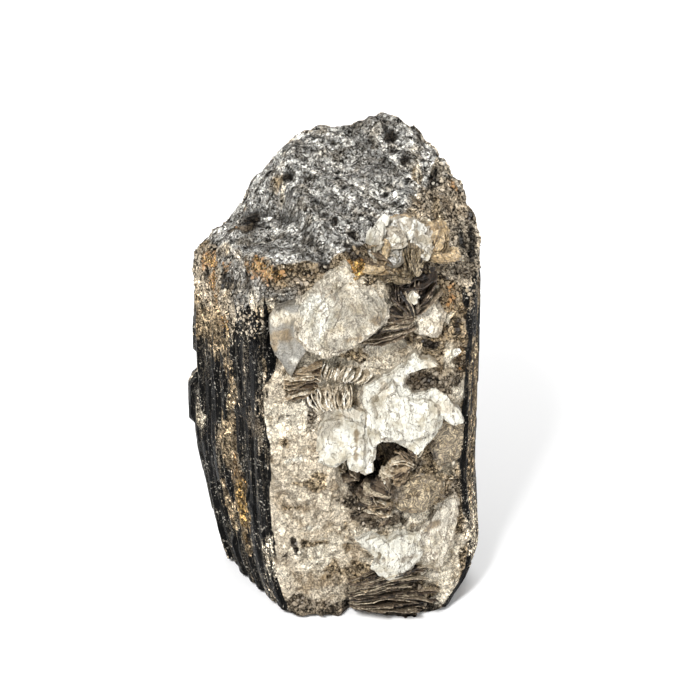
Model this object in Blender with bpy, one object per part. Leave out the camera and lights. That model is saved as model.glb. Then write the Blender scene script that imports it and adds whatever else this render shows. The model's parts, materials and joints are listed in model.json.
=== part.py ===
"""A black tourmaline specimen: a stubby striated prism, broken across at both ends, with mica grown over its front.

The minerals grew together, so the specimen is one closed solid. It stands on its broken foot, with +Z up and the
mica towards -Y. Lengths are in millimetres until a mesh is made, which is scaled by MM.
"""

import math
import random
from typing import NamedTuple

import bmesh
import bpy
from mathutils import Matrix, Vector, noise
from mathutils.geometry import delaunay_2d_cdt

MM = 0.001
AXIS_PLACE = (0.55, -1.0, 0.0)  # the prism's axis from the middle of the specimen's base
WELD = 0.004  # corners closer than this are one

# The prism: plan positions of its long edges, clockwise from above, at the heights in STATIONS.
STATIONS = (0.0, 12.0, 40.0, 85.0, 123.0)
EDGES = (
    ((-12.5, -27.5), (-16.5, -27.0), (-18.0, -27.0), (-18.8, -27.0), (-18.5, -25.0)),  # front left
    ((-32.5, 3.0), (-35.5, 4.0), (-40.0, 5.0), (-38.5, 6.0), (-37.0, 7.0)),  # left
    ((-24.0, 20.0), (-26.0, 22.0), (-28.5, 23.5), (-29.0, 22.0), (-27.0, 19.0)),  # back left
    ((-3.0, 28.0), (-3.0, 30.0), (-2.0, 31.5), (-1.0, 32.5), (1.0, 32.5)),  # back
    ((20.0, 24.0), (23.0, 26.0), (26.0, 28.0), (27.0, 28.0), (25.5, 28.0)),  # back right
    ((36.5, -3.0), (39.5, -4.0), (38.5, 0.0), (38.0, 2.0), (37.0, 3.0)),  # right
    ((28.0, -27.5), (37.5, -19.0), (34.5, -18.5), (35.0, -17.0), (33.0, -14.0)),  # front right
)
BULGES = (0.6, 0.8, 1.2, 1.0, 1.2, 0.6, 2.4)  # how far each face, from its edge to the next, swells at its middle
FRONT_FACE = 6  # the face that the mica covers
EDGE_ROUNDING = 2.0  # half the length of outline over which an edge is rounded
BEND_ROUNDING = 4.0  # half the height over which a bend in an edge is rounded
GAUGE_HEIGHT = 45.0  # the outline is measured along at this height

# Striations: upright ridges on every face but the front.
RIDGE_SEED = 11
RIDGE_WIDTHS = (3.2, 7.4)
RIDGE_HEIGHTS = (0.3, 1.8)
RIDGE_COLUMNS = ((0.05, 0.0), (0.3, 1.0), (0.75, 0.8))  # share of the ridge's width, and of its height, at each column
FRONT_COLUMNS = 28
ROWS = 28  # from the foot to the rim of the top
SIDE_FORMS = (  # face, distance along it, height, half width, half height, rise: broken ledges across the striations
    (1, 0.0, 51.0, 5.0, 6.5, 1.8),
    (1, 0.0, 62.5, 4.0, 3.5, -1.0),
    (0, 12.0, 47.0, 4.0, 12.0, -1.2),
    (0, 24.0, 22.0, 4.0, 9.0, -1.0),
    (3, 12.0, 78.0, 6.0, 14.0, -1.1),
    (4, 16.0, 34.0, 6.0, 10.0, -1.0),
    (2, 10.0, 40.0, 6.0, 16.0, 1.0),
)

# The broken top: planes (height at the axis, rise along x, rise along y) that meet in ridges and steps.
SUMMIT = (114.4, 0.0, 0.235)
SUMMIT_FLANK = (128.5, 0.85, 0.0)  # falls away to the left
LOWER_STEP = (110.2, 0.307, 0.0)  # the lower terrace at the left
SHOULDER = (130.8, -0.787, 0.539)  # the bevel at the right, under the mica
LEFT_BEVEL = (164.5, 2.09, 1.18)  # the crumbled rim over the left face
STEP_LINE = ((-34.0, 20.0), (-25.0, 15.0), (-14.0, 8.0), (-8.0, -7.0), (2.0, -30.0))  # the foot of the summit's step
STEP_DROP = 2.4  # the least height of that step
STEP_WIDTH = 3.4  # how far the step's wall reaches in plan
TOP_LUMPS = (  # x, y, radius, height
    (13.0, 31.0, 5.5, 2.6),
    (26.5, 26.0, 4.0, -3.4),
    (-13.0, 9.0, 3.6, -2.4),
    (24.0, 8.0, 3.5, -1.8),
    (-27.0, -4.0, 5.0, 1.2),
    (-2.0, -12.0, 5.0, 1.0),
    (2.0, 14.0, 4.0, -1.2),
    (-27.0, 19.5, 4.2, -5.0),
    (31.5, 19.5, 4.5, -4.0),
)
TOP_GRAIN = 1.3  # height of the top's roughness
TOP_SPACING = 3.1  # between the points of the top's mesh

# The front: forms that stand proud or are sunk, as x, height, half width, half height, rise.
FRONT_FORMS = (
    (3.0, 95.0, 14.0, 12.0, 2.4),  # the upper sheets' block
    (20.0, 67.0, 14.0, 13.0, 3.4),  # the swell that carries the large sheet
    (-9.0, 42.0, 11.0, 36.0, 1.5),  # the granular column
    (8.5, 47.0, 8.0, 9.5, -9.0),  # the hollow
    (25.0, 46.0, 9.0, 13.0, 2.0),  # the brown lobe beside it
    (16.0, 26.0, 14.0, 9.0, 1.8),  # the lower white patch
    (14.0, 83.0, 9.0, 4.0, -3.0),  # the gap under the dark book
    (14.0, 10.0, 13.0, 5.0, 1.2),  # the book at the foot
    (6.0, 1.0, 5.0, 6.0, -4.5),  # the notch in the lower edge
    (30.0, 86.0, 7.0, 12.0, 1.2),  # the crumbly right side
)
FRONT_GRAIN = 1.5  # height of the front's roughness
FRONT_SLOPE = 0.15  # the front recedes to the right by this much for each millimetre

# The foot: how high its broken rim stands over the flat that the specimen rests on, and how far out.
FOOT_RISE = 1.6
FOOT_INSET = 2.0


class Plate(NamedTuple):
    """A plate of mica lying on the front.

    The outline's corners are x and height. stand_off is from the front to the face of its first leaf, and the leans
    are how far the plate recedes, beyond the front's own slope, for each millimetre along x and upwards.
    """

    outline: tuple
    stand_off: float
    lean_x: float
    lean_z: float
    thickness: float
    leaves: int = 1


PLATES = {
    "upper": Plate(
        (
            (-8.0, 96.0), (-5.0, 101.5), (-2.5, 104.0), (2.0, 106.0), (5.0, 103.0), (8.0, 100.0),
            (15.5, 100.0), (16.0, 96.0), (11.5, 91.5), (2.0, 87.5), (-3.0, 84.5), (-7.0, 87.0),
        ),
        1.4, 0.02, 0.16, 3.0, 2,
    ),
    "grey_blade": Plate(
        (
            (-15.5, 93.0), (-11.5, 95.0), (-8.0, 93.5), (-6.0, 85.0), (-9.0, 80.0), (-11.5, 76.0),
            (-14.0, 80.0), (-15.5, 87.0),
        ),
        1.8, -0.2, 0.0, 2.6,
    ),
    "large": Plate(
        (
            (9.0, 72.5), (15.0, 76.5), (18.0, 78.0), (19.5, 82.0), (21.0, 78.5), (26.0, 77.5), (26.0, 75.0),
            (19.0, 72.0), (19.5, 68.5), (27.5, 68.0), (32.0, 64.5), (32.5, 61.0), (26.0, 57.0), (23.0, 54.5),
            (16.0, 53.5), (7.5, 57.0), (5.0, 64.0),
        ),
        1.8, 0.04, 0.14, 3.2,
    ),
    "large_face": Plate(
        ((10.0, 69.0), (15.0, 73.0), (17.0, 67.0), (25.0, 66.0), (29.5, 63.0), (24.0, 58.5), (12.0, 57.5)),
        2.7, 0.04, 0.14, 2.4,
    ),
    "tail": Plate(
        (
            (2.5, 66.5), (8.5, 69.0), (9.0, 60.0), (6.5, 56.0), (6.0, 48.0), (4.0, 48.0), (1.5, 50.5),
            (-6.0, 49.5), (-5.0, 56.0), (-2.5, 61.5),
        ),
        2.0, -0.1, 0.06, 2.8, 2,
    ),
    "brown_lobe": Plate(
        (
            (11.5, 40.0), (14.5, 36.0), (19.0, 36.5), (22.0, 39.0), (26.5, 44.5), (30.0, 53.0), (27.0, 55.5),
            (21.5, 53.0), (18.0, 48.0), (14.0, 44.5),
        ),
        1.8, -0.06, 0.1, 2.8, 2,
    ),
    "low_white": Plate(
        (
            (2.5, 30.0), (9.0, 30.5), (15.5, 31.0), (18.0, 36.5), (26.0, 38.0), (26.5, 33.0), (25.5, 25.0),
            (21.5, 19.5), (18.0, 21.0), (7.0, 20.0), (5.5, 25.0),
        ),
        1.6, 0.0, -0.08, 2.6, 2,
    ),
    "low_right": Plate(
        ((20.0, 20.0), (25.0, 26.0), (30.0, 30.0), (32.0, 22.0), (30.0, 14.0), (24.0, 10.0), (20.5, 14.0)),
        1.4, 0.12, 0.1, 2.4,
    ),
    "brown_patch": Plate(
        ((6.0, 80.0), (9.0, 84.0), (16.0, 84.5), (19.0, 80.0), (13.0, 76.0), (8.0, 76.5)),
        1.0, 0.1, 0.25, 2.2,
    ),
    "right_chip": Plate(
        ((21.0, 93.0), (24.0, 96.0), (27.5, 91.0), (26.0, 85.0), (22.0, 86.0)),
        1.2, -0.1, 0.1, 2.0,
    ),
    "right_brown": Plate(
        ((28.0, 59.0), (31.0, 62.0), (33.5, 57.0), (33.0, 48.0), (29.5, 47.0)),
        1.0, 0.2, 0.0, 2.0,
    ),
}
LEAF_SHRINK = 0.8  # size of each leaf to the one under it
LEAF_SHIFT = 0.08  # how far it lies off the middle, as a share of the plate
LEAF_STEP = 0.9  # from the face of one leaf to the next


class Book(NamedTuple):
    """A book of mica whose leaves show their edges at the front, fanned by so many degrees from leaf to leaf."""

    x: float
    height: float
    stand_off: float
    length: float
    depth: float
    roll: float
    pitch: float
    leaves: int
    fan: float
    gap: float


BOOKS = {
    "fan": Book(16.0, 98.0, 2.4, 9.0, 7.0, -50.0, 0.0, 4, 14.0, 1.9),
    "dark": Book(10.5, 88.0, 3.0, 18.0, 6.0, -12.0, 8.0, 3, 4.0, 1.7),
    "under_blade": Book(-9.5, 75.5, 1.6, 11.0, 5.0, -8.0, 6.0, 3, 6.0, 1.9),
    "comb": Book(0.5, 68.5, 2.2, 9.0, 5.0, 74.0, 0.0, 4, 5.0, 2.2),
    "hollow": Book(10.0, 43.0, 0.5, 11.0, 6.0, 18.0, 10.0, 3, 9.0, 2.2),
    "foot": Book(13.5, 11.0, 2.2, 21.0, 6.0, 10.0, 6.0, 4, 4.0, 2.2),
}
LEAF_THICKNESS = 0.9
LEAF_CORNERS = 9
LEAF_RAGGEDNESS = 0.3  # how far a book leaf's corners reach in, as a share of its size

# The round book of mica on the shoulder: its middle, its radius, the way its leaves face, and their number.
ROUND_BOOK = ((17.8, -16.0, 108.0), 9.0, (0.2, -0.7, 0.68), 3)
ROUND_LEAF = 1.6


def clamp(value, low=0.0, high=1.0):
    """The value kept between two limits."""
    return max(low, min(high, value))


def smooth(value):
    """0 below 0, 1 above 1, and a smooth rise between."""
    t = clamp(value)
    return t * t * (3 - 2 * t)


def plane_height(plane, x, y):
    """Height over a plan point of a plane of the broken top."""
    height, along_x, along_y = plane
    return height + along_x * x + along_y * y


def edge_at(index, z):
    """Plan position of a long edge at height z, with its bends rounded."""
    places = EDGES[index % len(EDGES)]
    total = Vector((0.0, 0.0))
    for offset in (-BEND_ROUNDING, 0.0, BEND_ROUNDING):
        height = clamp(z + offset, STATIONS[0], STATIONS[-1])
        k = max(i for i, station in enumerate(STATIONS[:-1]) if station <= height)
        share = (height - STATIONS[k]) / (STATIONS[k + 1] - STATIONS[k])
        total += Vector(places[k]).lerp(Vector(places[k + 1]), share)
    return total / 3


FACE_LENGTHS = [
    (edge_at(k + 1, GAUGE_HEIGHT) - edge_at(k, GAUGE_HEIGHT)).length for k in range(len(EDGES))
]
GIRTH = sum(FACE_LENGTHS)
STRIATED_GIRTH = sum(FACE_LENGTHS[:FRONT_FACE])


def sharp_point(girth, z):
    """Plan point at this distance along the outline, before its edges are rounded."""
    along = girth % GIRTH
    face = 0
    while along > FACE_LENGTHS[face] and face < len(FACE_LENGTHS) - 1:
        along -= FACE_LENGTHS[face]
        face += 1
    share = along / FACE_LENGTHS[face]
    start, end = edge_at(face, z), edge_at(face + 1, z)
    run = end - start
    outward = Vector((-run.y, run.x)).normalized()
    return start.lerp(end, share) + outward * BULGES[face] * 4 * share * (1 - share)


def outline_point(girth, z):
    """Plan point on the smooth outline, and the outward direction there."""
    before = sharp_point(girth - EDGE_ROUNDING, z)
    here = sharp_point(girth, z)
    after = sharp_point(girth + EDGE_ROUNDING, z)
    run = after - before
    return (before + here * 2 + after) / 4, Vector((-run.y, run.x)).normalized()


def ridge_columns():
    """(distance along the outline, ridge height) for each column of the striated faces."""
    dice = random.Random(RIDGE_SEED)
    columns, start = [], 0.0
    while start < STRIATED_GIRTH:
        width = dice.uniform(*RIDGE_WIDTHS)
        height = dice.uniform(*RIDGE_HEIGHTS)
        columns += [
            (start + width * share, height * rise)
            for share, rise in RIDGE_COLUMNS
            if start + width * share < STRIATED_GIRTH
        ]
        start += width
    return columns


def front_columns():
    """The columns of the front, evenly spaced and with no ridges."""
    length = FACE_LENGTHS[FRONT_FACE]
    return [(STRIATED_GIRTH + length * (i + 0.5) / FRONT_COLUMNS, 0.0) for i in range(FRONT_COLUMNS)]


def side_of_step(x, y):
    """Signed distance in plan from STEP_LINE, positive towards the summit."""
    nearest = None
    for start, end in zip(STEP_LINE, STEP_LINE[1:]):
        a, b, p = Vector(start), Vector(end), Vector((x, y))
        run = b - a
        share = clamp((p - a).dot(run) / run.length_squared)
        gap = p - (a + run * share)
        side = 1.0 if run.x * gap.y - run.y * gap.x > 0 else -1.0
        if nearest is None or gap.length < abs(nearest):
            nearest = side * gap.length
    return nearest


def top_height(x, y):
    """Height of the broken top over a plan point."""
    summit = min(plane_height(SUMMIT, x, y), plane_height(SUMMIT_FLANK, x, y))
    lower = min(plane_height(LOWER_STEP, x, y), summit - STEP_DROP)
    on_summit = smooth(side_of_step(x, y) / STEP_WIDTH + 0.5)
    height = lower + (summit - lower) * on_summit
    height = min(height, plane_height(SHOULDER, x, y), plane_height(LEFT_BEVEL, x, y))
    for lump_x, lump_y, radius, rise in TOP_LUMPS:
        height += rise * smooth(1.5 - math.hypot(x - lump_x, y - lump_y) / radius)
    grain = noise.fractal(Vector((x, y, 7.0)) / 9.0, 0.6, 2.1, 3)
    return height + TOP_GRAIN * grain


def front_relief(x, z):
    """How far the mica front stands out from the prism at x and height z."""
    relief = 0.0
    for form_x, form_z, half_width, half_height, height in FRONT_FORMS:
        reach = math.hypot((x - form_x) / half_width, (z - form_z) / half_height)
        relief += height * smooth(1.6 * (1.15 - reach))
    return relief + FRONT_GRAIN * noise.fractal(Vector((x, 3.0, z)) / 8.0, 0.7, 2.1, 3)


def front_share(girth):
    """1 on the front face, falling to 0 at its edges and on the other faces."""
    inside = min(girth - STRIATED_GIRTH, GIRTH - girth)
    return smooth(inside / 3.0)


def side_relief(girth, z):
    """How far the ledges of the striated faces stand out at this distance along the outline and height."""
    relief = 0.0
    for face, along, form_z, half_width, half_height, rise in SIDE_FORMS:
        form_girth = sum(FACE_LENGTHS[:face]) + along
        reach = max(abs(girth - form_girth) / half_width, abs(z - form_z) / half_height)
        relief += rise * smooth(2.5 * (1.2 - reach))
    return relief


def side_point(girth, ridge, z):
    """A point of the specimen's side."""
    place, outward = outline_point(girth, z)
    rise = ridge * (0.8 + 0.4 * noise.noise(Vector((girth / 6.0, z / 22.0, 1.0))))
    rise += side_relief(girth, z) * (1.0 - front_share(girth))
    if girth > STRIATED_GIRTH:
        rise += front_share(girth) * front_relief(place.x, z)
    place += outward * rise
    return Vector((place.x, place.y, z))


def rim_point(girth, ridge):
    """Where the side meets the broken top."""
    height = top_height(*outline_point(girth, STATIONS[3])[0])
    for _ in range(3):
        point = side_point(girth, ridge, height)
        height = top_height(point.x, point.y)
    return side_point(girth, ridge, height)


def foot_rise(girth):
    """Height of the lower rim over the flat of the foot."""
    return FOOT_RISE * (1.0 + 0.6 * noise.noise(Vector((girth / 7.0, 0.0, 5.0))))


def inside_outline(point, outline, margin):
    """Whether a plan point lies inside a closed outline, at least margin from it."""
    crossings = 0
    for a, b in zip(outline, outline[1:] + outline[:1]):
        run = b - a
        share = clamp((point - a).dot(run) / max(run.length_squared, 1e-9))
        if (a + run * share - point).length < margin:
            return False
        if (a.y > point.y) != (b.y > point.y):
            crossings += point.x < a.x + run.x * (point.y - a.y) / run.y
    return crossings % 2 == 1


def top_points(outline):
    """Plan points in a staggered grid that fills the outline."""
    reach = max(abs(value) for point in outline for value in point)
    row_gap = TOP_SPACING * math.sin(math.pi / 3)
    rows = range(-int(reach / row_gap), int(reach / row_gap) + 1)
    columns = range(-int(reach / TOP_SPACING), int(reach / TOP_SPACING) + 1)
    grid = [Vector(((column + row % 2 / 2) * TOP_SPACING, row * row_gap)) for row in rows for column in columns]
    return [point for point in grid if inside_outline(point, outline, TOP_SPACING * 0.45)]


def add_top(bm, rim):
    """Closes the side with the broken top, over the loop of vertices in rim."""
    outline = [vertex.co.xy / MM for vertex in rim]
    inner = top_points(outline)
    edges = [(i, (i + 1) % len(rim)) for i in range(len(rim))]
    _, _, faces, _, _, _ = delaunay_2d_cdt(outline + inner, edges, [], 1, 1e-6)
    vertices = rim + [bm.verts.new(Vector((p.x, p.y, top_height(p.x, p.y))) * MM) for p in inner]
    for face in faces:
        bm.faces.new([vertices[i] for i in face])


def add_foot(bm, lowest, columns):
    """Closes the side below with a broken rim and the flat that the specimen rests on."""
    ring = []
    for girth, _ in columns:
        place, outward = outline_point(girth, 0.0)
        inset = FOOT_INSET
        if girth > STRIATED_GIRTH:
            inset -= min(0.0, front_share(girth) * front_relief(place.x, 0.0))
        place -= outward * inset
        ring.append(bm.verts.new(Vector((place.x, place.y, 0.0)) * MM))
    join_rings(bm, ring, lowest)
    bm.faces.new(ring)


def join_rings(bm, lower, upper):
    """Faces between two closed rings of as many vertices."""
    for i in range(len(lower)):
        k = (i + 1) % len(lower)
        bm.faces.new((lower[i], lower[k], upper[k], upper[i]))


def thin_rows(bm, rings, columns):
    """Takes every second row of edges out of the striated faces, which change little with height."""
    striated = [i for i, (girth, _) in enumerate(columns) if girth < STRIATED_GIRTH]
    spare = []
    for ring in rings[1:-1:2]:
        for i in striated[1:-1]:
            spare.append(bm.edges.get((ring[i], ring[i + 1])))
    bmesh.ops.dissolve_edges(bm, edges=spare, use_verts=True)


def crystal_mesh():
    """The prism with its broken ends and the relief of its front, as one closed mesh."""
    bm = bmesh.new()
    columns = ridge_columns() + front_columns()
    rings = []
    rims = [rim_point(girth, ridge) for girth, ridge in columns]
    for row in range(ROWS + 1):
        ring = []
        for (girth, ridge), rim in zip(columns, rims):
            low = foot_rise(girth)
            point = side_point(girth, ridge, low + (rim.z - low) * row / ROWS)
            ring.append(bm.verts.new(point * MM))
        rings.append(ring)
    for lower, upper in zip(rings, rings[1:]):
        join_rings(bm, lower, upper)
    thin_rows(bm, rings, columns)
    add_top(bm, rings[-1])
    add_foot(bm, rings[0], columns)
    return finished_mesh(bm, "crystal")


def finished_mesh(bm, name):
    """The mesh of a BMesh, in triangles that face out."""
    bmesh.ops.recalc_face_normals(bm, faces=bm.faces)
    bmesh.ops.triangulate(bm, faces=bm.faces)
    mesh = bpy.data.meshes.new(name)
    bm.to_mesh(mesh)
    bm.free()
    return mesh


def front_surface(x, z):
    """The point of the front at x and z, on the relief."""
    length = FACE_LENGTHS[FRONT_FACE]
    right, left = edge_at(FRONT_FACE, z), edge_at(0, z)
    share = clamp((right.x - x) / (right.x - left.x), 0.02, 0.98)
    return side_point(STRIATED_GIRTH + length * share, 0.0, z)


def slab_mesh(name, outline, thickness, placing):
    """A leaf of mica over an outline in the XY plane of placing, its thickness along the local Z, in millimetres."""
    bm = bmesh.new()
    corners = [bm.verts.new((x, y, 0.0)) for x, y in outline]
    made = bmesh.ops.extrude_face_region(bm, geom=[bm.faces.new(corners)])
    raised = [item for item in made["geom"] if isinstance(item, bmesh.types.BMVert)]
    bmesh.ops.translate(bm, verts=raised, vec=(0.0, 0.0, thickness))
    bmesh.ops.transform(bm, matrix=Matrix.Scale(MM, 4) @ placing, verts=bm.verts)
    return finished_mesh(bm, name)


def broken_outline(name, half_width, half_height):
    """The corners of a leaf broken off all round, drawn from the leaf's name."""
    dice = random.Random(name)
    outline = []
    for i in range(LEAF_CORNERS):
        angle = 2 * math.pi * (i + dice.uniform(-0.35, 0.35)) / LEAF_CORNERS
        reach = 1.1 - dice.uniform(0.0, LEAF_RAGGEDNESS)
        outline.append((half_width * reach * math.cos(angle), half_height * reach * math.sin(angle)))
    return outline


def plate_slabs(name, plate):
    """The leaves of a plate that lies on the front, each smaller than the one under it."""
    dice = random.Random(name)
    middle = sum((Vector(corner) for corner in plate.outline), Vector((0.0, 0.0))) / len(plate.outline)
    width = max(x for x, _ in plate.outline) - min(x for x, _ in plate.outline)
    face = front_surface(*middle).y - plate.stand_off
    facing = Matrix(
        (
            (1.0, 0.0, 0.0, middle.x),
            (FRONT_SLOPE + plate.lean_x, plate.lean_z, -1.0, face + plate.thickness),
            (0.0, 1.0, 0.0, middle.y),
            (0.0, 0.0, 0.0, 1.0),
        )
    )
    for leaf in range(plate.leaves):
        shift = Vector((dice.uniform(-1, 1), dice.uniform(-1, 1))) * LEAF_SHIFT * width * leaf
        outline = [(Vector(corner) - middle) * LEAF_SHRINK**leaf + shift for corner in plate.outline]
        yield slab_mesh(f"{name}_{leaf}", outline, plate.thickness + LEAF_STEP * leaf, facing)


def book_slabs(name, book):
    """The leaves of a book whose edges show at the front."""
    base = front_surface(book.x, book.height) + Vector((0.0, book.depth / 2 - book.stand_off, 0.0))
    turn = Matrix.Rotation(math.radians(book.pitch), 4, "X") @ Matrix.Rotation(math.radians(book.roll), 4, "Y")
    for leaf in range(book.leaves):
        step = leaf - (book.leaves - 1) / 2
        lift = Matrix.Translation((0.0, 0.0, book.gap * step))
        fan = Matrix.Rotation(math.radians(book.fan * step), 4, "Y")
        outline = broken_outline(f"{name}_{leaf}", book.length / 2, book.depth / 2)
        placing = Matrix.Translation(base) @ turn @ lift @ fan
        yield slab_mesh(f"{name}_{leaf}", outline, LEAF_THICKNESS, placing)


def round_book_slabs():
    """The leaves of the round book on the shoulder."""
    middle, radius, facing, leaves = ROUND_BOOK
    placing = Matrix.Translation(middle) @ Vector(facing).to_track_quat("Z", "Y").to_matrix().to_4x4()
    for leaf in range(leaves):
        size = radius * (1.0 - 0.14 * leaf)
        lift = Matrix.Translation((0.6 * leaf, -0.8 * leaf, ROUND_LEAF * 0.8 * (leaf - leaves / 2)))
        yield slab_mesh(f"round_{leaf}", broken_outline(f"round_{leaf}", size, size), ROUND_LEAF, placing @ lift)


def schorl_material():
    """Black tourmaline, with the dust of its fractures."""
    material = bpy.data.materials.new("schorl")
    material.use_nodes = True
    shader = material.node_tree.nodes["Principled BSDF"]
    shader.inputs["Base Color"].default_value = (0.03, 0.028, 0.027, 1.0)
    shader.inputs["Roughness"].default_value = 0.4
    shader.inputs["Metallic"].default_value = 0.0
    return material


def add_mica():
    """The slabs of mica, hidden in a collection of their own."""
    mica = bpy.data.collections.new("mica")
    bpy.context.scene.collection.children.link(mica)
    meshes = list(round_book_slabs())
    for name, plate in PLATES.items():
        meshes += plate_slabs(name, plate)
    for name, book in BOOKS.items():
        meshes += book_slabs(name, book)
    for mesh in meshes:
        slab = bpy.data.objects.new(f"mica_{mesh.name}", mesh)
        slab.hide_render = True
        slab.display_type = "WIRE"
        mica.objects.link(slab)
    return mica


def fuse(crystal, slabs):
    """One closed mesh of the crystal and the slabs, without the pockets that they shut in."""
    modifier = crystal.modifiers.new("mica", "BOOLEAN")
    modifier.operation = "UNION"
    modifier.operand_type = "COLLECTION"
    modifier.collection = slabs
    evaluated = crystal.evaluated_get(bpy.context.evaluated_depsgraph_get())
    bm = bmesh.new()
    bm.from_mesh(evaluated.to_mesh())
    crystal.modifiers.remove(modifier)
    bmesh.ops.remove_doubles(bm, verts=bm.verts, dist=WELD * MM)
    bmesh.ops.dissolve_degenerate(bm, edges=bm.edges, dist=WELD * MM)
    pockets = [vertex for shell in sorted(shells(bm), key=len)[:-1] for vertex in shell]
    bmesh.ops.delete(bm, geom=pockets, context="VERTS")
    bmesh.ops.triangulate(bm, faces=bm.faces)
    return bm


def shells(bm):
    """The vertices of each separate surface of a mesh."""
    waiting, found = set(bm.verts), []
    while waiting:
        reached = [waiting.pop()]
        for vertex in reached:
            near = {edge.other_vert(vertex) for edge in vertex.link_edges} & waiting
            waiting -= near
            reached += near
        found.append(reached)
    return found


def main():
    for old in list(bpy.data.objects):
        bpy.data.objects.remove(old)
    crystal = bpy.data.objects.new("crystal", crystal_mesh())
    bpy.context.scene.collection.objects.link(crystal)
    bm = fuse(crystal, add_mica())
    bmesh.ops.translate(bm, verts=bm.verts, vec=Vector(AXIS_PLACE) * MM)
    bpy.data.objects.remove(crystal)
    specimen = bpy.data.objects.new("black_tourmaline", finished_mesh(bm, "black_tourmaline"))
    specimen.data.materials.append(schorl_material())
    bpy.context.scene.collection.objects.link(specimen)


main()
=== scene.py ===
"""Dresses the black tourmaline specimen: the striated prism, its broken top and the mica over its front.

Lengths are in millimetres until a mesh is made, which is scaled by MM. The prism stands along +Z with the
mica towards -Y, and AXIS_PLACE is where its axis stands in the frame.
"""

from __future__ import annotations

import json
import logging
import math
import random
from collections.abc import Sequence
from dataclasses import dataclass, field
from enum import Enum
from functools import cached_property

import bmesh
import bpy
import numpy as np
from bpy.types import Collection, ColorRamp, Material, Mesh, NodeSocket, NodeTree, Object
from mathutils import Matrix, Vector, noise
from mathutils.geometry import delaunay_2d_cdt

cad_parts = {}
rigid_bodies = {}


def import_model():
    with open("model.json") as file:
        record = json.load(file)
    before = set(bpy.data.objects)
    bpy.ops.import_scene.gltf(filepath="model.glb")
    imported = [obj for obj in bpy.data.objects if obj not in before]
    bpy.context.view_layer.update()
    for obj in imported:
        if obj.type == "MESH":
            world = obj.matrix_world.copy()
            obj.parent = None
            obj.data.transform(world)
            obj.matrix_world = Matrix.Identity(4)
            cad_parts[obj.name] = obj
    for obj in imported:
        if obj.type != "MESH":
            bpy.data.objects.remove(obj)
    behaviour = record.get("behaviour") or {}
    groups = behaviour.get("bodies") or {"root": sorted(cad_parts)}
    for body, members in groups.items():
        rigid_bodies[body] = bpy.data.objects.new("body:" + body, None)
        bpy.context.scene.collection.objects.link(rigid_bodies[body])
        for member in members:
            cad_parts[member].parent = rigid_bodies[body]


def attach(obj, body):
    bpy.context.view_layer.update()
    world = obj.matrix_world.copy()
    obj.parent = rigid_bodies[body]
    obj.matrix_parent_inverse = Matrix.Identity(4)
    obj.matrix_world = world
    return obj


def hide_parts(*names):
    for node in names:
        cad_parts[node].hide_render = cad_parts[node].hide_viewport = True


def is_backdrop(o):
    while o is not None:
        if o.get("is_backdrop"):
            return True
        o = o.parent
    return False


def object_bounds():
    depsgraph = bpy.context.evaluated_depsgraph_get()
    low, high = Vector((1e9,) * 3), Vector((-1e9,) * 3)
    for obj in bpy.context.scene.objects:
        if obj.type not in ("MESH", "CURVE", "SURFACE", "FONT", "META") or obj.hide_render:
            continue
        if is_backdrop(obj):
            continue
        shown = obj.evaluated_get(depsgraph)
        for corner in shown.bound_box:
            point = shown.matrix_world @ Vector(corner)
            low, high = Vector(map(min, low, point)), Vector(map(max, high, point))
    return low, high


MM = 0.001
AXIS_PLACE = (0.55, -1.0, 0.0)
BODY = "root"
NODE = "black_tourmaline"
INSET = 2e-5  # how far inside the CAD's box every point stays, in metres
Array = np.ndarray
Faces = list[list[int]]

log = logging.getLogger("black_tourmaline")


def smooth(value: Array) -> Array:
    """Returns 0 below 0, 1 above 1, and a smooth rise between."""
    t = np.clip(value, 0.0, 1.0)
    return t * t * (3 - 2 * t)


def linear(red: int, green: int, blue: int) -> tuple[float, float, float]:
    """Returns the linear colour of a display colour given from 0 to 255."""
    levels = (level / 255 for level in (red, green, blue))
    return tuple(((c + 0.055) / 1.055) ** 2.4 if c > 0.04 else c / 12.92 for c in levels)


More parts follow.
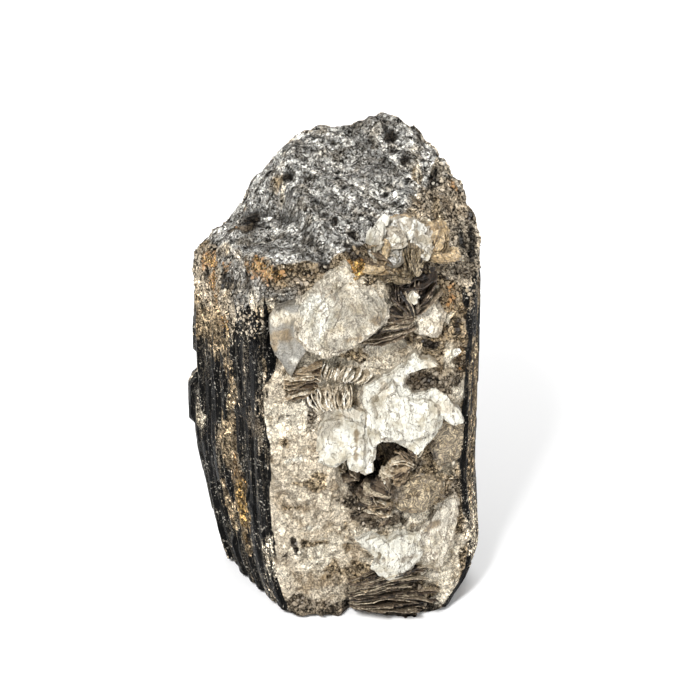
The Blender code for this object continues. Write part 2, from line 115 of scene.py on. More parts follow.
class Pattern:
    """Seeded patterns over a plane, for whole arrays of points at once."""

    @staticmethod
    def lattice(u: Array, v: Array, seed: int) -> Array:
        """Returns an even random number from 0 to 1 for each whole-numbered place.

        Args:
            u: First whole-numbered coordinate.
            v: Second whole-numbered coordinate.
            seed: Chooses the set of numbers.

        Returns:
            The random numbers.
        """
        mask = np.int64(0xFFFFFFFF)
        mixed = (u.astype(np.int64) * 374761393 + v.astype(np.int64) * 668265263 + seed * 362437) & mask
        mixed = ((mixed ^ (mixed >> 13)) * 1274126177) & mask
        return ((mixed ^ (mixed >> 16)) & mask) / float(mask)

    @classmethod
    def facets(cls, u: Array, v: Array, size: float, seed: int, lean: float = 1.4) -> Array:
        """Returns the heights of a broken surface, whose every cell has a level and a slope of its own.

        Args:
            u: First coordinate of the points.
            v: Second coordinate of the points.
            size: Distance between neighbouring cells.
            seed: Chooses the pattern.
            lean: How strongly the cells slope.

        Returns:
            Heights of about -1 to 1.
        """
        cell_u, cell_v = np.floor(u / size), np.floor(v / size)
        nearest, height = np.full(u.shape, np.inf), np.zeros(u.shape)
        for step_u in (-1, 0, 1):
            for step_v in (-1, 0, 1):
                at_u, at_v = cell_u + step_u, cell_v + step_v
                chance = [cls.lattice(at_u, at_v, seed + k) for k in range(5)]
                away_u = u / size - at_u - chance[0]
                away_v = v / size - at_v - chance[1]
                distance = np.hypot(away_u, away_v)
                slope = (chance[3] - 0.5) * away_u + (chance[4] - 0.5) * away_v
                closer = distance < nearest
                height = np.where(closer, chance[2] - 0.5 + lean * slope, height)
                nearest = np.where(closer, distance, nearest)
        return height * 2

    @classmethod
    def layered(cls, u: Array, v: Array, layers: Sequence[tuple[float, float, int]]) -> Array:
        """Returns broken surfaces one on another, each given by its height, its cells' size and a seed."""
        return sum(height * cls.facets(u, v, size, seed) for height, size, seed in layers)

    @classmethod
    def blots(cls, u: Array, v: Array, size: float, seed: int, octaves: int = 3) -> Array:
        """Returns a soft cloudy pattern from 0 to 1.

        Args:
            u: First coordinate of the points.
            v: Second coordinate of the points.
            size: Size of the largest clouds.
            seed: Chooses the pattern.
            octaves: How many times it is repeated, each time half as large.

        Returns:
            The pattern's values.
        """
        total, weight = np.zeros(u.shape), 0.0
        for octave in range(octaves):
            at_u, at_v = u / size * 2**octave, v / size * 2**octave
            cell_u, cell_v = np.floor(at_u), np.floor(at_v)
            along_u, along_v = smooth(at_u - cell_u), smooth(at_v - cell_v)
            corners = [
                [cls.lattice(cell_u + i, cell_v + j, seed + 17 * octave) for j in (0, 1)] for i in (0, 1)
            ]
            low = corners[0][0] + (corners[0][1] - corners[0][0]) * along_v
            high = corners[1][0] + (corners[1][1] - corners[1][0]) * along_v
            total += (low + (high - low) * along_u) * 0.5**octave
            weight += 0.5**octave
        return total / weight

    @staticmethod
    def fractal(points: Array, roughness: float) -> Array:
        """Returns three octaves of gradient noise at points in space."""
        return np.array([noise.fractal(Vector(p), roughness, 2.1, 3) for p in points])


# ---- shape


@dataclass(frozen=True)
class Prism:
    """The outline of the tourmaline prism, whose long edges run clockwise seen from above."""

    stations: tuple = (0.0, 12.0, 40.0, 85.0, 123.0)
    edges: tuple = (
        ((-12.5, -27.5), (-16.5, -27.0), (-18.0, -27.0), (-18.8, -27.0), (-18.5, -25.0)),
        ((-32.5, 3.0), (-35.5, 4.0), (-40.0, 5.0), (-38.5, 6.0), (-37.0, 7.0)),
        ((-24.0, 20.0), (-26.0, 22.0), (-28.5, 23.5), (-29.0, 22.0), (-27.0, 19.0)),
        ((-3.0, 28.0), (-3.0, 30.0), (-2.0, 31.5), (-1.0, 32.5), (1.0, 32.5)),
        ((20.0, 24.0), (23.0, 26.0), (26.0, 28.0), (27.0, 28.0), (25.5, 28.0)),
        ((36.5, -3.0), (39.5, -4.0), (38.5, 0.0), (38.0, 2.0), (37.0, 3.0)),
        ((28.0, -27.5), (37.5, -19.0), (34.5, -18.5), (35.0, -17.0), (33.0, -14.0)),
    )
    bulges: tuple = (0.6, 0.8, 1.2, 1.0, 1.2, 0.6, 2.4)
    front_face: int = 6
    edge_rounding: float = 2.0
    bend_rounding: float = 4.0
    gauge_height: float = 45.0
    ridge_seed: int = 11
    ridge_widths: tuple = (3.2, 7.4)
    ridge_heights: tuple = (0.3, 1.8)
    ridge_columns: tuple = ((0.05, 0.0), (0.3, 1.0), (0.75, 0.8))
    side_forms: tuple = (  # face, distance along it, height, half width, half height, rise
        (1, 0.0, 51.0, 5.0, 6.5, 1.8),
        (1, 0.0, 62.5, 4.0, 3.5, -1.0),
        (0, 12.0, 47.0, 4.0, 12.0, -1.2),
        (0, 24.0, 22.0, 4.0, 9.0, -1.0),
        (3, 12.0, 78.0, 6.0, 14.0, -1.1),
        (4, 16.0, 34.0, 6.0, 10.0, -1.0),
        (2, 10.0, 40.0, 6.0, 16.0, 1.0),
    )

    def edges_at(self, z: Array) -> Array:
        """Returns the plan positions of all long edges at each height, with their bends rounded.

        Args:
            z: The heights.

        Returns:
            An array of heights by edges by x and y.
        """
        places = np.array(self.edges)
        total = np.zeros((len(z), *places.shape[::2]))
        for offset in (-self.bend_rounding, 0.0, self.bend_rounding):
            height = np.clip(z + offset, self.stations[0], self.stations[-1])
            for edge in range(len(places)):
                for axis in (0, 1):
                    total[:, edge, axis] += np.interp(height, self.stations, places[edge, :, axis])
        return total / 3

    @cached_property
    def face_lengths(self) -> Array:
        """The widths of the faces at the gauge height."""
        corners = self.edges_at(np.array([self.gauge_height]))[0]
        return np.linalg.norm(np.roll(corners, -1, axis=0) - corners, axis=1)

    @property
    def girth(self) -> float:
        """The distance once round the prism."""
        return float(self.face_lengths.sum())

    @property
    def striated_girth(self) -> float:
        """The distance round the faces that the mica leaves free."""
        return float(self.face_lengths[: self.front_face].sum())

    def sharp_points(self, girth: Array, z: Array) -> Array:
        """Returns plan points before the edges are rounded."""
        starts = np.concatenate([[0.0], np.cumsum(self.face_lengths)])
        along = np.mod(girth, self.girth)
        face = np.clip(np.searchsorted(starts, along, side="right") - 1, 0, len(self.face_lengths) - 1)
        share = ((along - starts[face]) / self.face_lengths[face])[:, None]
        corners = self.edges_at(z)
        rows = np.arange(len(z))
        start, end = corners[rows, face], corners[rows, (face + 1) % len(self.face_lengths)]
        run = end - start
        outward = np.stack([-run[:, 1], run[:, 0]], axis=1) / np.linalg.norm(run, axis=1)[:, None]
        bulge = np.array(self.bulges)[face][:, None]
        return start + run * share + outward * bulge * 4 * share * (1 - share)

    def outline(self, girth: Array, z: Array) -> tuple[Array, Array]:
        """Returns plan points on the smooth outline, and the outward directions there.

        Args:
            girth: Distances along the outline.
            z: Heights.

        Returns:
            The points and the directions.
        """
        before = self.sharp_points(girth - self.edge_rounding, z)
        here = self.sharp_points(girth, z)
        after = self.sharp_points(girth + self.edge_rounding, z)
        run = after - before
        outward = np.stack([-run[:, 1], run[:, 0]], axis=1) / np.linalg.norm(run, axis=1)[:, None]
        return (before + here * 2 + after) / 4, outward

    @cached_property
    def ridge_profile(self) -> tuple[Array, Array]:
        """Distances along the outline and the height of the striation ridges there."""
        dice = random.Random(self.ridge_seed)
        places, heights, start = [], [], 0.0
        while start < self.striated_girth:
            width = dice.uniform(*self.ridge_widths)
            height = dice.uniform(*self.ridge_heights)
            for share, rise in self.ridge_columns:
                if start + width * share < self.striated_girth:
                    places.append(start + width * share)
                    heights.append(height * rise)
            start += width
        return np.array([*places, self.striated_girth]), np.array([*heights, 0.0])

    def ridges(self, girth: Array, z: Array) -> Array:
        """Returns how far the striations and broken ledges stand out from the faces."""
        sway = np.array([noise.noise(Vector((g / 6.0, h / 22.0, 1.0))) for g, h in zip(girth, z)])
        rise = np.interp(girth, *self.ridge_profile) * (0.8 + 0.4 * sway)
        for face, along, form_z, half_width, half_height, height in self.side_forms:
            form_girth = self.face_lengths[:face].sum() + along
            reach = np.maximum(np.abs(girth - form_girth) / half_width, np.abs(z - form_z) / half_height)
            rise += height * smooth(2.5 * (1.2 - reach)) * (1.0 - self.front_share(girth))
        return rise

    def front_share(self, girth: Array) -> Array:
        """Returns 1 on the front face, falling to 0 at its edges and on the other faces."""
        return smooth(np.minimum(girth - self.striated_girth, self.girth - girth) / 3.0)


@dataclass(frozen=True)
class BrokenTop:
    """The fracture across the top: planes that meet in ridges and steps.

    A plane is its height over the axis and its rise along x and y; a lump is its x, y, radius and rise.
    """

    summit: tuple = (114.4, 0.0, 0.235)
    summit_flank: tuple = (128.5, 0.85, 0.0)
    lower_step: tuple = (110.2, 0.307, 0.0)
    shoulder: tuple = (130.8, -0.787, 0.539)
    left_bevel: tuple = (164.5, 2.09, 1.18)
    step_line: tuple = ((-34.0, 20.0), (-25.0, 15.0), (-14.0, 8.0), (-8.0, -7.0), (2.0, -30.0))
    step_drop: float = 2.4
    step_width: float = 3.4
    lumps: tuple = (
        (13.0, 31.0, 5.5, 2.6),
        (26.5, 26.0, 4.0, -3.4),
        (-13.0, 9.0, 3.6, -2.4),
        (24.0, 8.0, 3.5, -1.8),
        (-27.0, -4.0, 5.0, 1.2),
        (-2.0, -12.0, 5.0, 1.0),
        (2.0, 14.0, 4.0, -1.2),
        (-27.0, 19.5, 4.2, -5.0),
        (31.5, 19.5, 4.5, -4.0),
    )
    grain: float = 1.3
    bevel_run: tuple = (0.49, -0.87)

    @staticmethod
    def plane(plane: tuple, x: Array, y: Array) -> Array:
        """Returns the height of a plane over plan points."""
        return plane[0] + plane[1] * x + plane[2] * y

    def side_of_step(self, x: Array, y: Array) -> Array:
        """Returns the distance from the step's foot in plan, positive towards the summit."""
        nearest = np.full(x.shape, np.inf)
        for (ax, ay), (bx, by) in zip(self.step_line, self.step_line[1:]):
            run_x, run_y = bx - ax, by - ay
            share = np.clip(((x - ax) * run_x + (y - ay) * run_y) / (run_x**2 + run_y**2), 0.0, 1.0)
            gap_x, gap_y = x - ax - run_x * share, y - ay - run_y * share
            distance = np.hypot(gap_x, gap_y) * np.where(run_x * gap_y - run_y * gap_x > 0, 1.0, -1.0)
            nearest = np.where(np.abs(distance) < np.abs(nearest), distance, nearest)
        return nearest

    def heights(self, x: Array, y: Array) -> Array:
        """Returns the height of the broken top over plan points."""
        summit = np.minimum(self.plane(self.summit, x, y), self.plane(self.summit_flank, x, y))
        lower = np.minimum(self.plane(self.lower_step, x, y), summit - self.step_drop)
        height = lower + (summit - lower) * smooth(self.side_of_step(x, y) / self.step_width + 0.5)
        height = np.minimum(height, self.plane(self.shoulder, x, y))
        height = np.minimum(height, self.plane(self.left_bevel, x, y))
        for lump_x, lump_y, radius, rise in self.lumps:
            height += rise * smooth(1.5 - np.hypot(x - lump_x, y - lump_y) / radius)
        points = np.stack([x, y, np.full(x.shape, 7.0)], axis=1) / 9.0
        return height + self.grain * Pattern.fractal(points, 0.6)

    def shoulder_share(self, x: Array, y: Array) -> Array:
        """Returns 1 on the bevel at the right, falling to 0 on the rest of the top."""
        return smooth((self.plane(self.summit, x, y) - self.plane(self.shoulder, x, y)) / 1.5 + 0.6)

    def along_bevel(self, x: Array, y: Array) -> Array:
        """Returns how far along the bevel at the front left plan points are."""
        return self.bevel_run[0] * x + self.bevel_run[1] * y

    def left_share(self, x: Array, y: Array) -> Array:
        """Returns 1 on the crumbled bevel at the front left, falling to 0 on the rest of the top."""
        ragged = Pattern.blots(x, y, 3.0, 97) - 0.5
        step = self.plane(self.lower_step, x, y) - self.plane(self.left_bevel, x, y)
        return smooth(step / 2.5 + 0.5 + ragged * 2.0)


@dataclass(frozen=True)
class Front:
    """The relief of the mica-covered face: x, height, half width, half height and rise of each form."""

    forms: tuple = (
        (3.0, 95.0, 14.0, 12.0, 2.4),
        (20.0, 67.0, 14.0, 13.0, 3.4),
        (-9.0, 42.0, 11.0, 36.0, 1.5),
        (8.5, 47.0, 8.0, 9.5, -9.0),
        (25.0, 46.0, 9.0, 13.0, 2.0),
        (16.0, 26.0, 14.0, 9.0, 1.8),
        (14.0, 83.0, 9.0, 4.0, -3.0),
        (14.0, 10.0, 13.0, 5.0, 1.2),
        (6.0, 1.0, 5.0, 6.0, -4.5),
        (30.0, 86.0, 7.0, 12.0, 1.2),
    )
    grain: float = 1.5
    slope: float = 0.15
    crust: tuple = ((0.5, 4.6, 3), (0.22, 1.9, 9), (0.1, 0.95, 15))
    crust_depth: float = 0.25

    def relief(self, x: Array, z: Array) -> Array:
        """Returns how far the face stands out from the prism."""
        relief = np.zeros(x.shape)
        for form_x, form_z, half_width, half_height, height in self.forms:
            reach = np.hypot((x - form_x) / half_width, (z - form_z) / half_height)
            relief += height * smooth(1.6 * (1.15 - reach))
        points = np.stack([x, np.full(x.shape, 3.0), z], axis=1) / 8.0
        return relief + self.grain * Pattern.fractal(points, 0.7)


# ---- colour


class Tone(Enum):
    """The colours of the specimen's minerals, stains and dust, with painted shade for its hollows, gaps and
    pits, and a painted sheen for its broken top.
    """

    SCHORL = linear(24, 23, 22)
    # A black painted shade, for the grooves, pits and gaps of the broken top and the bevel.
    SOOT = linear(26, 25, 23)
    # The broken top's pale grey is painted sheen: sky light caught by the broken facets of the black schorl.
    FRACTURE = linear(180, 179, 174)
    CRUMB = linear(142, 129, 110)
    BEIGE = linear(222, 213, 194)
    CREAM = linear(226, 217, 198)
    WHITE = linear(227, 224, 211)
    TAN = linear(172, 153, 123)
    BROWN = linear(122, 110, 93)
    # A dark brown painted shade, for the hollows, the gaps under the sheets and the round book, the pits and
    # the foot.
    DARK = linear(54, 47, 40)
    RUST = linear(158, 118, 72)
    ORANGE = linear(212, 154, 68)
    DUST = linear(122, 114, 102)
    SLATE = linear(156, 153, 146)
    PEARL = linear(224, 221, 210)
    BLADE = linear(170, 166, 156)
    HONEY = linear(222, 198, 158)
    FLAKE = linear(194, 186, 168)
    KHAKI = linear(188, 171, 141)
    SAND = linear(210, 198, 177)


@dataclass(frozen=True)
class Patch:
    """A patch of colour with ragged borders.

    Attributes:
        tone: Its colour.
        u: Where its middle is: x on the front and the top, the distance along the outline elsewhere.
        v: The height of its middle, or y on the top.
        half_u: Half its size along u.
        half_v: Half its size along v.
        cover: 1 where it covers its place whole, and less where it is scattered.
    """

    tone: Tone
    u: float
    v: float
    half_u: float
    half_v: float
    cover: float = 1.0

    def share(self, u: Array, v: Array, seed: int, stretch: float = 1.0) -> Array:
        """Returns from 0 to 1 how far the patch covers each point.

        Args:
            u: First coordinate of the points.
            v: Second coordinate of the points.
            seed: Chooses the ragged border.
            stretch: How much longer its tatters are along v than along u.

        Returns:
            The cover at each point.
        """
        stretch = min(max(1.2 * self.half_v / self.half_u, 1.0), stretch)
        size = min(self.half_u, self.half_v / stretch)
        reach = np.hypot((u - self.u) / self.half_u, (v - self.v) / self.half_v)
        ragged = Pattern.blots(u, v / stretch, size * 0.7 + 0.8, seed, 4) - 0.5
        return smooth(3.0 * (self.cover - reach * 0.95 + ragged * 1.5))


def numbered(patches: Sequence[Patch], first: int = 100, step: int = 7) -> list[tuple[int, Patch]]:
    """Returns each patch with the seed of its borders."""
    return [(first + step * index, patch) for index, patch in enumerate(patches)]


def laid(*rows: tuple) -> tuple[Patch, ...]:
    """Returns patches, lowest first, each from a row of its fields."""
    return tuple(Patch(*row) for row in rows)


@dataclass(frozen=True)
class Colouring:
    """Where each mineral, stain and dust lies, and where shade is painted into hollows, gaps and pits, in
    patches on each part of the surface.
    """

    # The dark brown patches on the front are painted shade: in the hollows, the gaps under the sheets, the
    # books and the round book, in pits and along the foot.
    front: tuple = laid(
        (Tone.SAND, -8, 38, 13, 42, 1.3), (Tone.BEIGE, -12, 63, 9, 8, 0.9),
        (Tone.BEIGE, -4, 20, 9, 12, 0.6), (Tone.CREAM, -14, 18, 4, 9, 0.4), (Tone.TAN, -14, 56, 4, 3, 0.6),
        (Tone.WHITE, -10, 51, 4, 2, 0.6), (Tone.WHITE, -7, 30, 5, 3, 0.6), (Tone.CREAM, -14, 33, 3, 7, 0.6),
        (Tone.TAN, -7, 44, 5, 2, 0.7), (Tone.TAN, -11, 36.5, 6, 1.2, 0.6), (Tone.TAN, -6, 25, 6, 1.6, 0.6),
        (Tone.TAN, -1, 15, 4, 5, 0.7), (Tone.CREAM, -9, 17, 5, 2.4, 0.6), (Tone.TAN, -4, 44, 4, 5, 0.7),
        (Tone.TAN, 3, 26, 3, 9, 0.5), (Tone.BEIGE, 2, 94, 14, 12), (Tone.FLAKE, -3, 78, 7, 5),
        (Tone.CREAM, -11, 98.5, 4, 2, 0.9), (Tone.BEIGE, 4, 75, 9, 5, 0.8), (Tone.CREAM, 19, 64, 14, 13),
        (Tone.CREAM, 17, 24, 14, 12, 1.1), (Tone.BEIGE, 27, 16, 6, 9), (Tone.TAN, 27, 46, 9, 14, 0.9),
        (Tone.TAN, 30, 84, 7, 16, 0.8), (Tone.CRUMB, 30, 71, 5, 8, 0.8),
        (Tone.CREAM, 22.5, 88, 3.5, 7, 0.8), (Tone.BEIGE, 12, 79, 9, 4.5, 0.9),
        (Tone.TAN, 5, 80.5, 4, 1.4, 0.9), (Tone.BROWN, 22, 72, 4.5, 3.5, 1.1),
        (Tone.TAN, -10, 75, 6, 4.5, 0.7), (Tone.DARK, -5.8, 68.5, 1.6, 1.6, 1.2),
        (Tone.BROWN, -6, 63, 1.8, 5, 0.9), (Tone.DARK, 14, 86, 9, 3.5, 0.9), (Tone.DARK, 16, 97, 6, 6, 0.8),
        (Tone.DARK, 16, 54, 6, 2.6, 1.2), (Tone.BROWN, 16, 49, 6.5, 5), (Tone.DARK, 7, 41, 4.6, 4.6, 1.2),
        (Tone.BROWN, 8, 34, 6, 5.5), (Tone.BROWN, 15.5, 30.5, 5, 2.2), (Tone.CRUMB, 18, 35, 7, 3, 0.9),
        (Tone.TAN, 20, 15, 3.5, 3.5, 0.9), (Tone.TAN, 8, 12, 10, 6, 0.9), (Tone.BROWN, 15, 8, 13, 4),
        (Tone.DARK, 16, 2, 18, 3.6, 1.2), (Tone.CRUMB, -9, 2.5, 9, 4, 1.1),
        (Tone.DARK, -12, 1.5, 2.5, 2, 0.6), (Tone.DARK, -11, 24.5, 1.2, 3, 0.9),
        (Tone.DARK, -13.5, 21, 1.4, 1, 0.8), (Tone.BEIGE, 31, 12, 4.5, 10, 1.1),
        (Tone.DARK, 29.5, 19, 1.4, 2, 0.8), (Tone.CRUMB, 31.5, 35, 2.5, 8, 0.9),
        (Tone.DARK, 5.5, 107, 4.5, 3, 0.9), (Tone.DARK, -2.5, 106, 2.4, 2.4, 0.8),
        (Tone.ORANGE, 4.5, 104.5, 4.4, 1.8, 1.1), (Tone.RUST, 30, 94, 1.8, 5, 0.8),
        (Tone.RUST, 32.5, 77, 1.4, 6, 0.8), (Tone.FLAKE, 25, 96, 5, 5, 0.6),
        (Tone.BEIGE, 28.5, 88, 2, 3, 0.8), (Tone.CREAM, 30, 78, 3.4, 4, 0.8),
        (Tone.DARK, 29, 99.5, 3, 1.6, 0.8), (Tone.DARK, 31.5, 86, 1.4, 5, 0.7),
        (Tone.DARK, 25, 82.5, 3, 1.6, 0.8), (Tone.BEIGE, 29, 74.5, 3, 1.6, 0.8),
        (Tone.BEIGE, 31, 66, 3, 4, 0.8), (Tone.DARK, 24, 73, 2.6, 1.4, 0.7),
        (Tone.FLAKE, 30, 50, 3, 8, 0.9), (Tone.BEIGE, 27, 40, 3, 1.6, 0.7),
        (Tone.CRUMB, -9, 101, 5, 4, 0.8), (Tone.SCHORL, -16.5, 83, 2.4, 11, 1.1),
        (Tone.SCHORL, -18, 44, 1.6, 22, 0.8), (Tone.SCHORL, -17.5, 6, 1.4, 4, 0.8),
        (Tone.SCHORL, 35.4, 88, 1.4, 24, 0.9), (Tone.SCHORL, 35.2, 95, 1.7, 15, 1.4),
    )
    sides: tuple = laid(
        (Tone.TAN, 20, 100, 26, 9), (Tone.RUST, 24, 94, 4, 7, 0.8), (Tone.TAN, 27, 78, 11, 11, 0.9),
        (Tone.TAN, 0.5, 84, 1.6, 12, 0.9), (Tone.RUST, 0.8, 86, 1, 4, 0.8),
        (Tone.SCHORL, 6, 80, 4.6, 14, 1.4), (Tone.TAN, 15.5, 68, 4, 14, 0.9),
        (Tone.ORANGE, 17, 84, 1.8, 2.6, 1.2), (Tone.ORANGE, 16, 62, 1.2, 3, 0.6),
        (Tone.SCHORL, 26, 58, 8, 11, 0.9), (Tone.DUST, 5, 60, 6, 6, 0.7), (Tone.FLAKE, 33, 47, 4, 13, 0.7),
        (Tone.TAN, 20, 46, 5, 9, 0.8), (Tone.RUST, 15, 38, 3.6, 9, 0.8), (Tone.SCHORL, 7, 43, 4, 7, 1.4),
        (Tone.TAN, 14, 26, 3.6, 12, 0.9), (Tone.ORANGE, 13.2, 29, 3.8, 5.4, 1.5),
        (Tone.TAN, 14, 18, 4, 7, 0.9), (Tone.ORANGE, 14, 18.5, 2, 2.4, 0.7),
        (Tone.SCHORL, 4, 30, 5, 9, 1.1), (Tone.FLAKE, 1, 18, 6, 13, 0.9), (Tone.SCHORL, 24, 8, 12, 7, 0.8),
        (Tone.TAN, 22, 24, 4.5, 9, 0.9), (Tone.CRUMB, 46, 84, 8, 13, 0.9), (Tone.DUST, 50, 40, 6, 16, 0.7),
        (Tone.TAN, 62, 70, 6, 20, 0.7), (Tone.RUST, 68, 28, 7, 14, 0.6), (Tone.CRUMB, 80, 92, 10, 12, 0.9),
        (Tone.DUST, 84, 50, 6, 22, 0.7), (Tone.TAN, 100, 76, 8, 18, 0.7),
        (Tone.CRUMB, 104, 24, 10, 14, 0.8), (Tone.CRUMB, 118, 60, 6, 22, 0.8),
        (Tone.RUST, 124, 92, 6, 10, 0.7), (Tone.DUST, 134, 34, 7, 18, 0.7),
        (Tone.CRUMB, 142, 78, 6, 18, 0.8), (Tone.CRUMB, 150, 46, 5, 20, 0.7),
        (Tone.CRUMB, 158, 84, 4, 14, 0.8), (Tone.CRUMB, 157, 20, 8, 14, 0.8),
        (Tone.RUST, 160, 62, 3, 8, 0.6), (Tone.SCHORL, 161.5, 93, 2.6, 16, 1.3),
        (Tone.TAN, 159, 48, 7, 32, 1.3), (Tone.SAND, 158, 20, 7, 12, 1.2),
    )
    # Most of the black patches on the top, and its dark brown one, are painted shade in its grooves and pits
    # and along its step.
    top: tuple = laid(
        (Tone.SOOT, -24.7, 2.7, 5, 2.2), (Tone.BROWN, -24.7, 2.7, 4, 1.7, 1.2),
        (Tone.RUST, -25.5, 3, 2.6, 0.9, 0.5), (Tone.RUST, -24.3, 15.6, 1.2, 1.8, 0.9),
        (Tone.TAN, -15, 11, 2.4, 1.8, 0.9), (Tone.CREAM, -13.6, 8.8, 1.4, 1.4, 0.7),
        (Tone.SOOT, -18, 17, 2.2, 2.2, 0.9), (Tone.SOOT, -12.3, 10.6, 2.2, 1.4),
        (Tone.SOOT, -21.5, 6.5, 3.2, 4.2, 0.75), (Tone.SOOT, -6.5, -3.5, 1.6, 0.8, 0.8),
        (Tone.SOOT, -2.5, -8, 1.2, 1.6, 0.8), (Tone.SOOT, 0, -13, 1.4, 1.3, 0.8),
        (Tone.SOOT, 3.5, -16.6, 2.2, 1), (Tone.SOOT, -5.8, 26.4, 3.4, 1, 0.8),
        (Tone.SOOT, -0.9, 23.8, 1.2, 1.2, 0.9), (Tone.SOOT, -12, 22, 3, 1.6, 0.6),
        (Tone.SOOT, 13, 0, 3.2, 1.6, 0.8), (Tone.SOOT, 15.4, 25, 4, 4, 0.5),
        (Tone.SOOT, 18.6, 14, 3, 5, 0.5), (Tone.DARK, 5.5, -21.5, 3.6, 2, 0.9),
        (Tone.SOOT, 35.8, 0, 1.6, 8, 0.9), (Tone.SOOT, 26.2, 10.4, 1.8, 2.6),
        (Tone.TAN, 21.6, 9, 1.4, 5, 0.9), (Tone.CREAM, 22, 11.5, 1, 2.6, 0.8),
        (Tone.RUST, 31.4, 11.3, 1.4, 1.6, 0.9), (Tone.TAN, 27, -2, 3, 5, 0.8),
        (Tone.BROWN, 22, -1, 3, 2, 0.8), (Tone.SOOT, 15.6, -3.3, 2, 1.6, 0.8),
        (Tone.CRUMB, 29, 4, 2.4, 3, 0.9), (Tone.SOOT, 33, -2, 2, 4, 0.8), (Tone.TAN, -35, 8, 2, 3, 0.8),
        (Tone.SOOT, -29, -6, 1.4, 2, 0.7), (Tone.SOOT, -21.5, -20.5, 1.2, 1.2, 0.7),
        (Tone.SOOT, -28, -12, 1.6, 1.2, 0.7),
    )
    # The black and dark brown patches on the bevel are painted shade in its gaps and pits.
    bevel: tuple = laid(
        (Tone.BROWN, 2.3, 104, 10, 0.9, 0.9), (Tone.TAN, -8, 99.5, 5, 1, 0.9),
        (Tone.SLATE, -4.4, 98, 7.5, 2.2, 1.2), (Tone.SLATE, 14, 98.8, 9.5, 2.2, 1.2),
        (Tone.SLATE, 4.4, 93.2, 4.5, 3, 1.1), (Tone.SOOT, -4, 95.6, 6, 0.9, 1.1),
        (Tone.SOOT, 6, 97, 5, 0.8, 0.9), (Tone.CREAM, 9.5, 95.6, 2.6, 1.4),
        (Tone.CREAM, 20, 101.5, 4, 1.2, 0.8), (Tone.DARK, 22, 99, 3, 1.4, 0.9),
        (Tone.DARK, -12, 99, 3, 0.9, 0.9), (Tone.CREAM, -10, 95, 2.4, 1.6, 0.7),
        (Tone.FLAKE, 16, 95.4, 4, 1.2, 0.9), (Tone.SOOT, 3.8, 99.6, 2.2, 1.1, 0.9),
        (Tone.SOOT, -6.5, 93.5, 2.6, 1.1, 0.8), (Tone.SOOT, -15.4, 92, 1.6, 2.4, 0.7),
        (Tone.SOOT, 16, 96, 3, 1, 0.7), (Tone.ORANGE, 6.3, 102.8, 8.5, 2, 1.3),
        (Tone.ORANGE, -15.4, 95.6, 4.5, 2.2), (Tone.ORANGE, -11.5, 91.4, 2.4, 3.2, 0.9),
        (Tone.RUST, -8.5, 97.5, 4, 1.6, 0.8),
    )
    sheets: tuple = laid(
        (Tone.FLAKE, 5.5, 95, 8, 7, 0.7), (Tone.FLAKE, -1, 101, 5, 2.6, 0.8),
        (Tone.FLAKE, 0, 87, 6, 2, 0.9), (Tone.WHITE, -4, 94, 3.8, 6, 1.1),
        (Tone.CREAM, 3, 104.5, 2.4, 1.8, 0.9), (Tone.CREAM, 3, 98, 2.4, 2, 0.7),
        (Tone.TAN, 10.5, 92, 3, 2, 0.7), (Tone.TAN, 5, 88, 4, 1.2, 0.8),
        (Tone.BEIGE, -13, 93.5, 4, 2.4, 0.9), (Tone.TAN, -12, 88.5, 4.5, 2.6, 0.6),
        (Tone.TAN, -15, 86.5, 1.6, 3, 0.9), (Tone.PEARL, -10.5, 81.5, 2.8, 3, 0.5),
        (Tone.CRUMB, 21, 73.5, 4.5, 2.6, 0.8), (Tone.BEIGE, 13, 72.5, 1.8, 4, 0.7),
        (Tone.BEIGE, 26, 78, 4, 1.6, 0.8), (Tone.BEIGE, 29, 66, 3, 3, 0.9),
        (Tone.FLAKE, -2.2, 62.5, 3.4, 4.5, 1.1), (Tone.BEIGE, 4, 64.5, 4, 1.6, 0.9),
        (Tone.TAN, 5.6, 57, 0.7, 7, 0.8), (Tone.PEARL, 8.3, 50, 1.6, 5, 0.8),
        (Tone.BROWN, 16, 41, 3, 3, 0.8), (Tone.CRUMB, 25, 50, 3.6, 4, 0.7),
        (Tone.FLAKE, 20, 20.5, 3.4, 2, 0.8), (Tone.BEIGE, 14, 21, 5, 1, 0.6), (Tone.TAN, 26, 28, 3, 2, 0.7),
        (Tone.BEIGE, 29, 17, 2.6, 2.6, 0.8),
    )

    @staticmethod
    def painted(
        base: Array, patches: Sequence[Patch], u: Array, v: Array, stretch: float = 1.0
    ) -> tuple[Array, Array, Array]:
        """Paints patches over a ground, one over another.

        Args:
            base: The colours under the patches.
            patches: The patches, lowest first. Those of bare schorl uncover what the others covered.
            u: First coordinate of the points.
            v: Second coordinate of the points.
            stretch: How much longer the patches' tatters are along v.

        Returns:
            The colours, as rows of red, green and blue; how far patches cover each point; and how far it is
            stained, up to 1 with rust and 2 with orange.
        """
        colours, cover, stain = base.copy(), np.zeros(u.shape), np.zeros(u.shape)
        for seed, patch in numbered(patches):
            share = patch.share(u, v, seed, stretch)
            if patch.tone is Tone.SCHORL:
                cover *= 1 - share
                continue
            cover = np.maximum(cover, share)
            if patch.tone in (Tone.RUST, Tone.ORANGE):
                stain = np.maximum(stain, share * (2.0 if patch.tone is Tone.ORANGE else 1.0))
                continue
            colours += (np.array(patch.tone.value) - colours) * share[:, None]
        return colours, cover, stain

    @staticmethod
    def uncovered(patches: Sequence[Patch], u: Array, v: Array, stretch: float) -> Array:
        """Returns 0 where patches of bare schorl lie, else 1; the arguments are those of painted."""
        free = np.ones(u.shape)
        for seed, patch in numbered(patches):
            if patch.tone is Tone.SCHORL:
                free *= 1 - patch.share(u, v, seed, stretch)
        return free


# ---- meshes


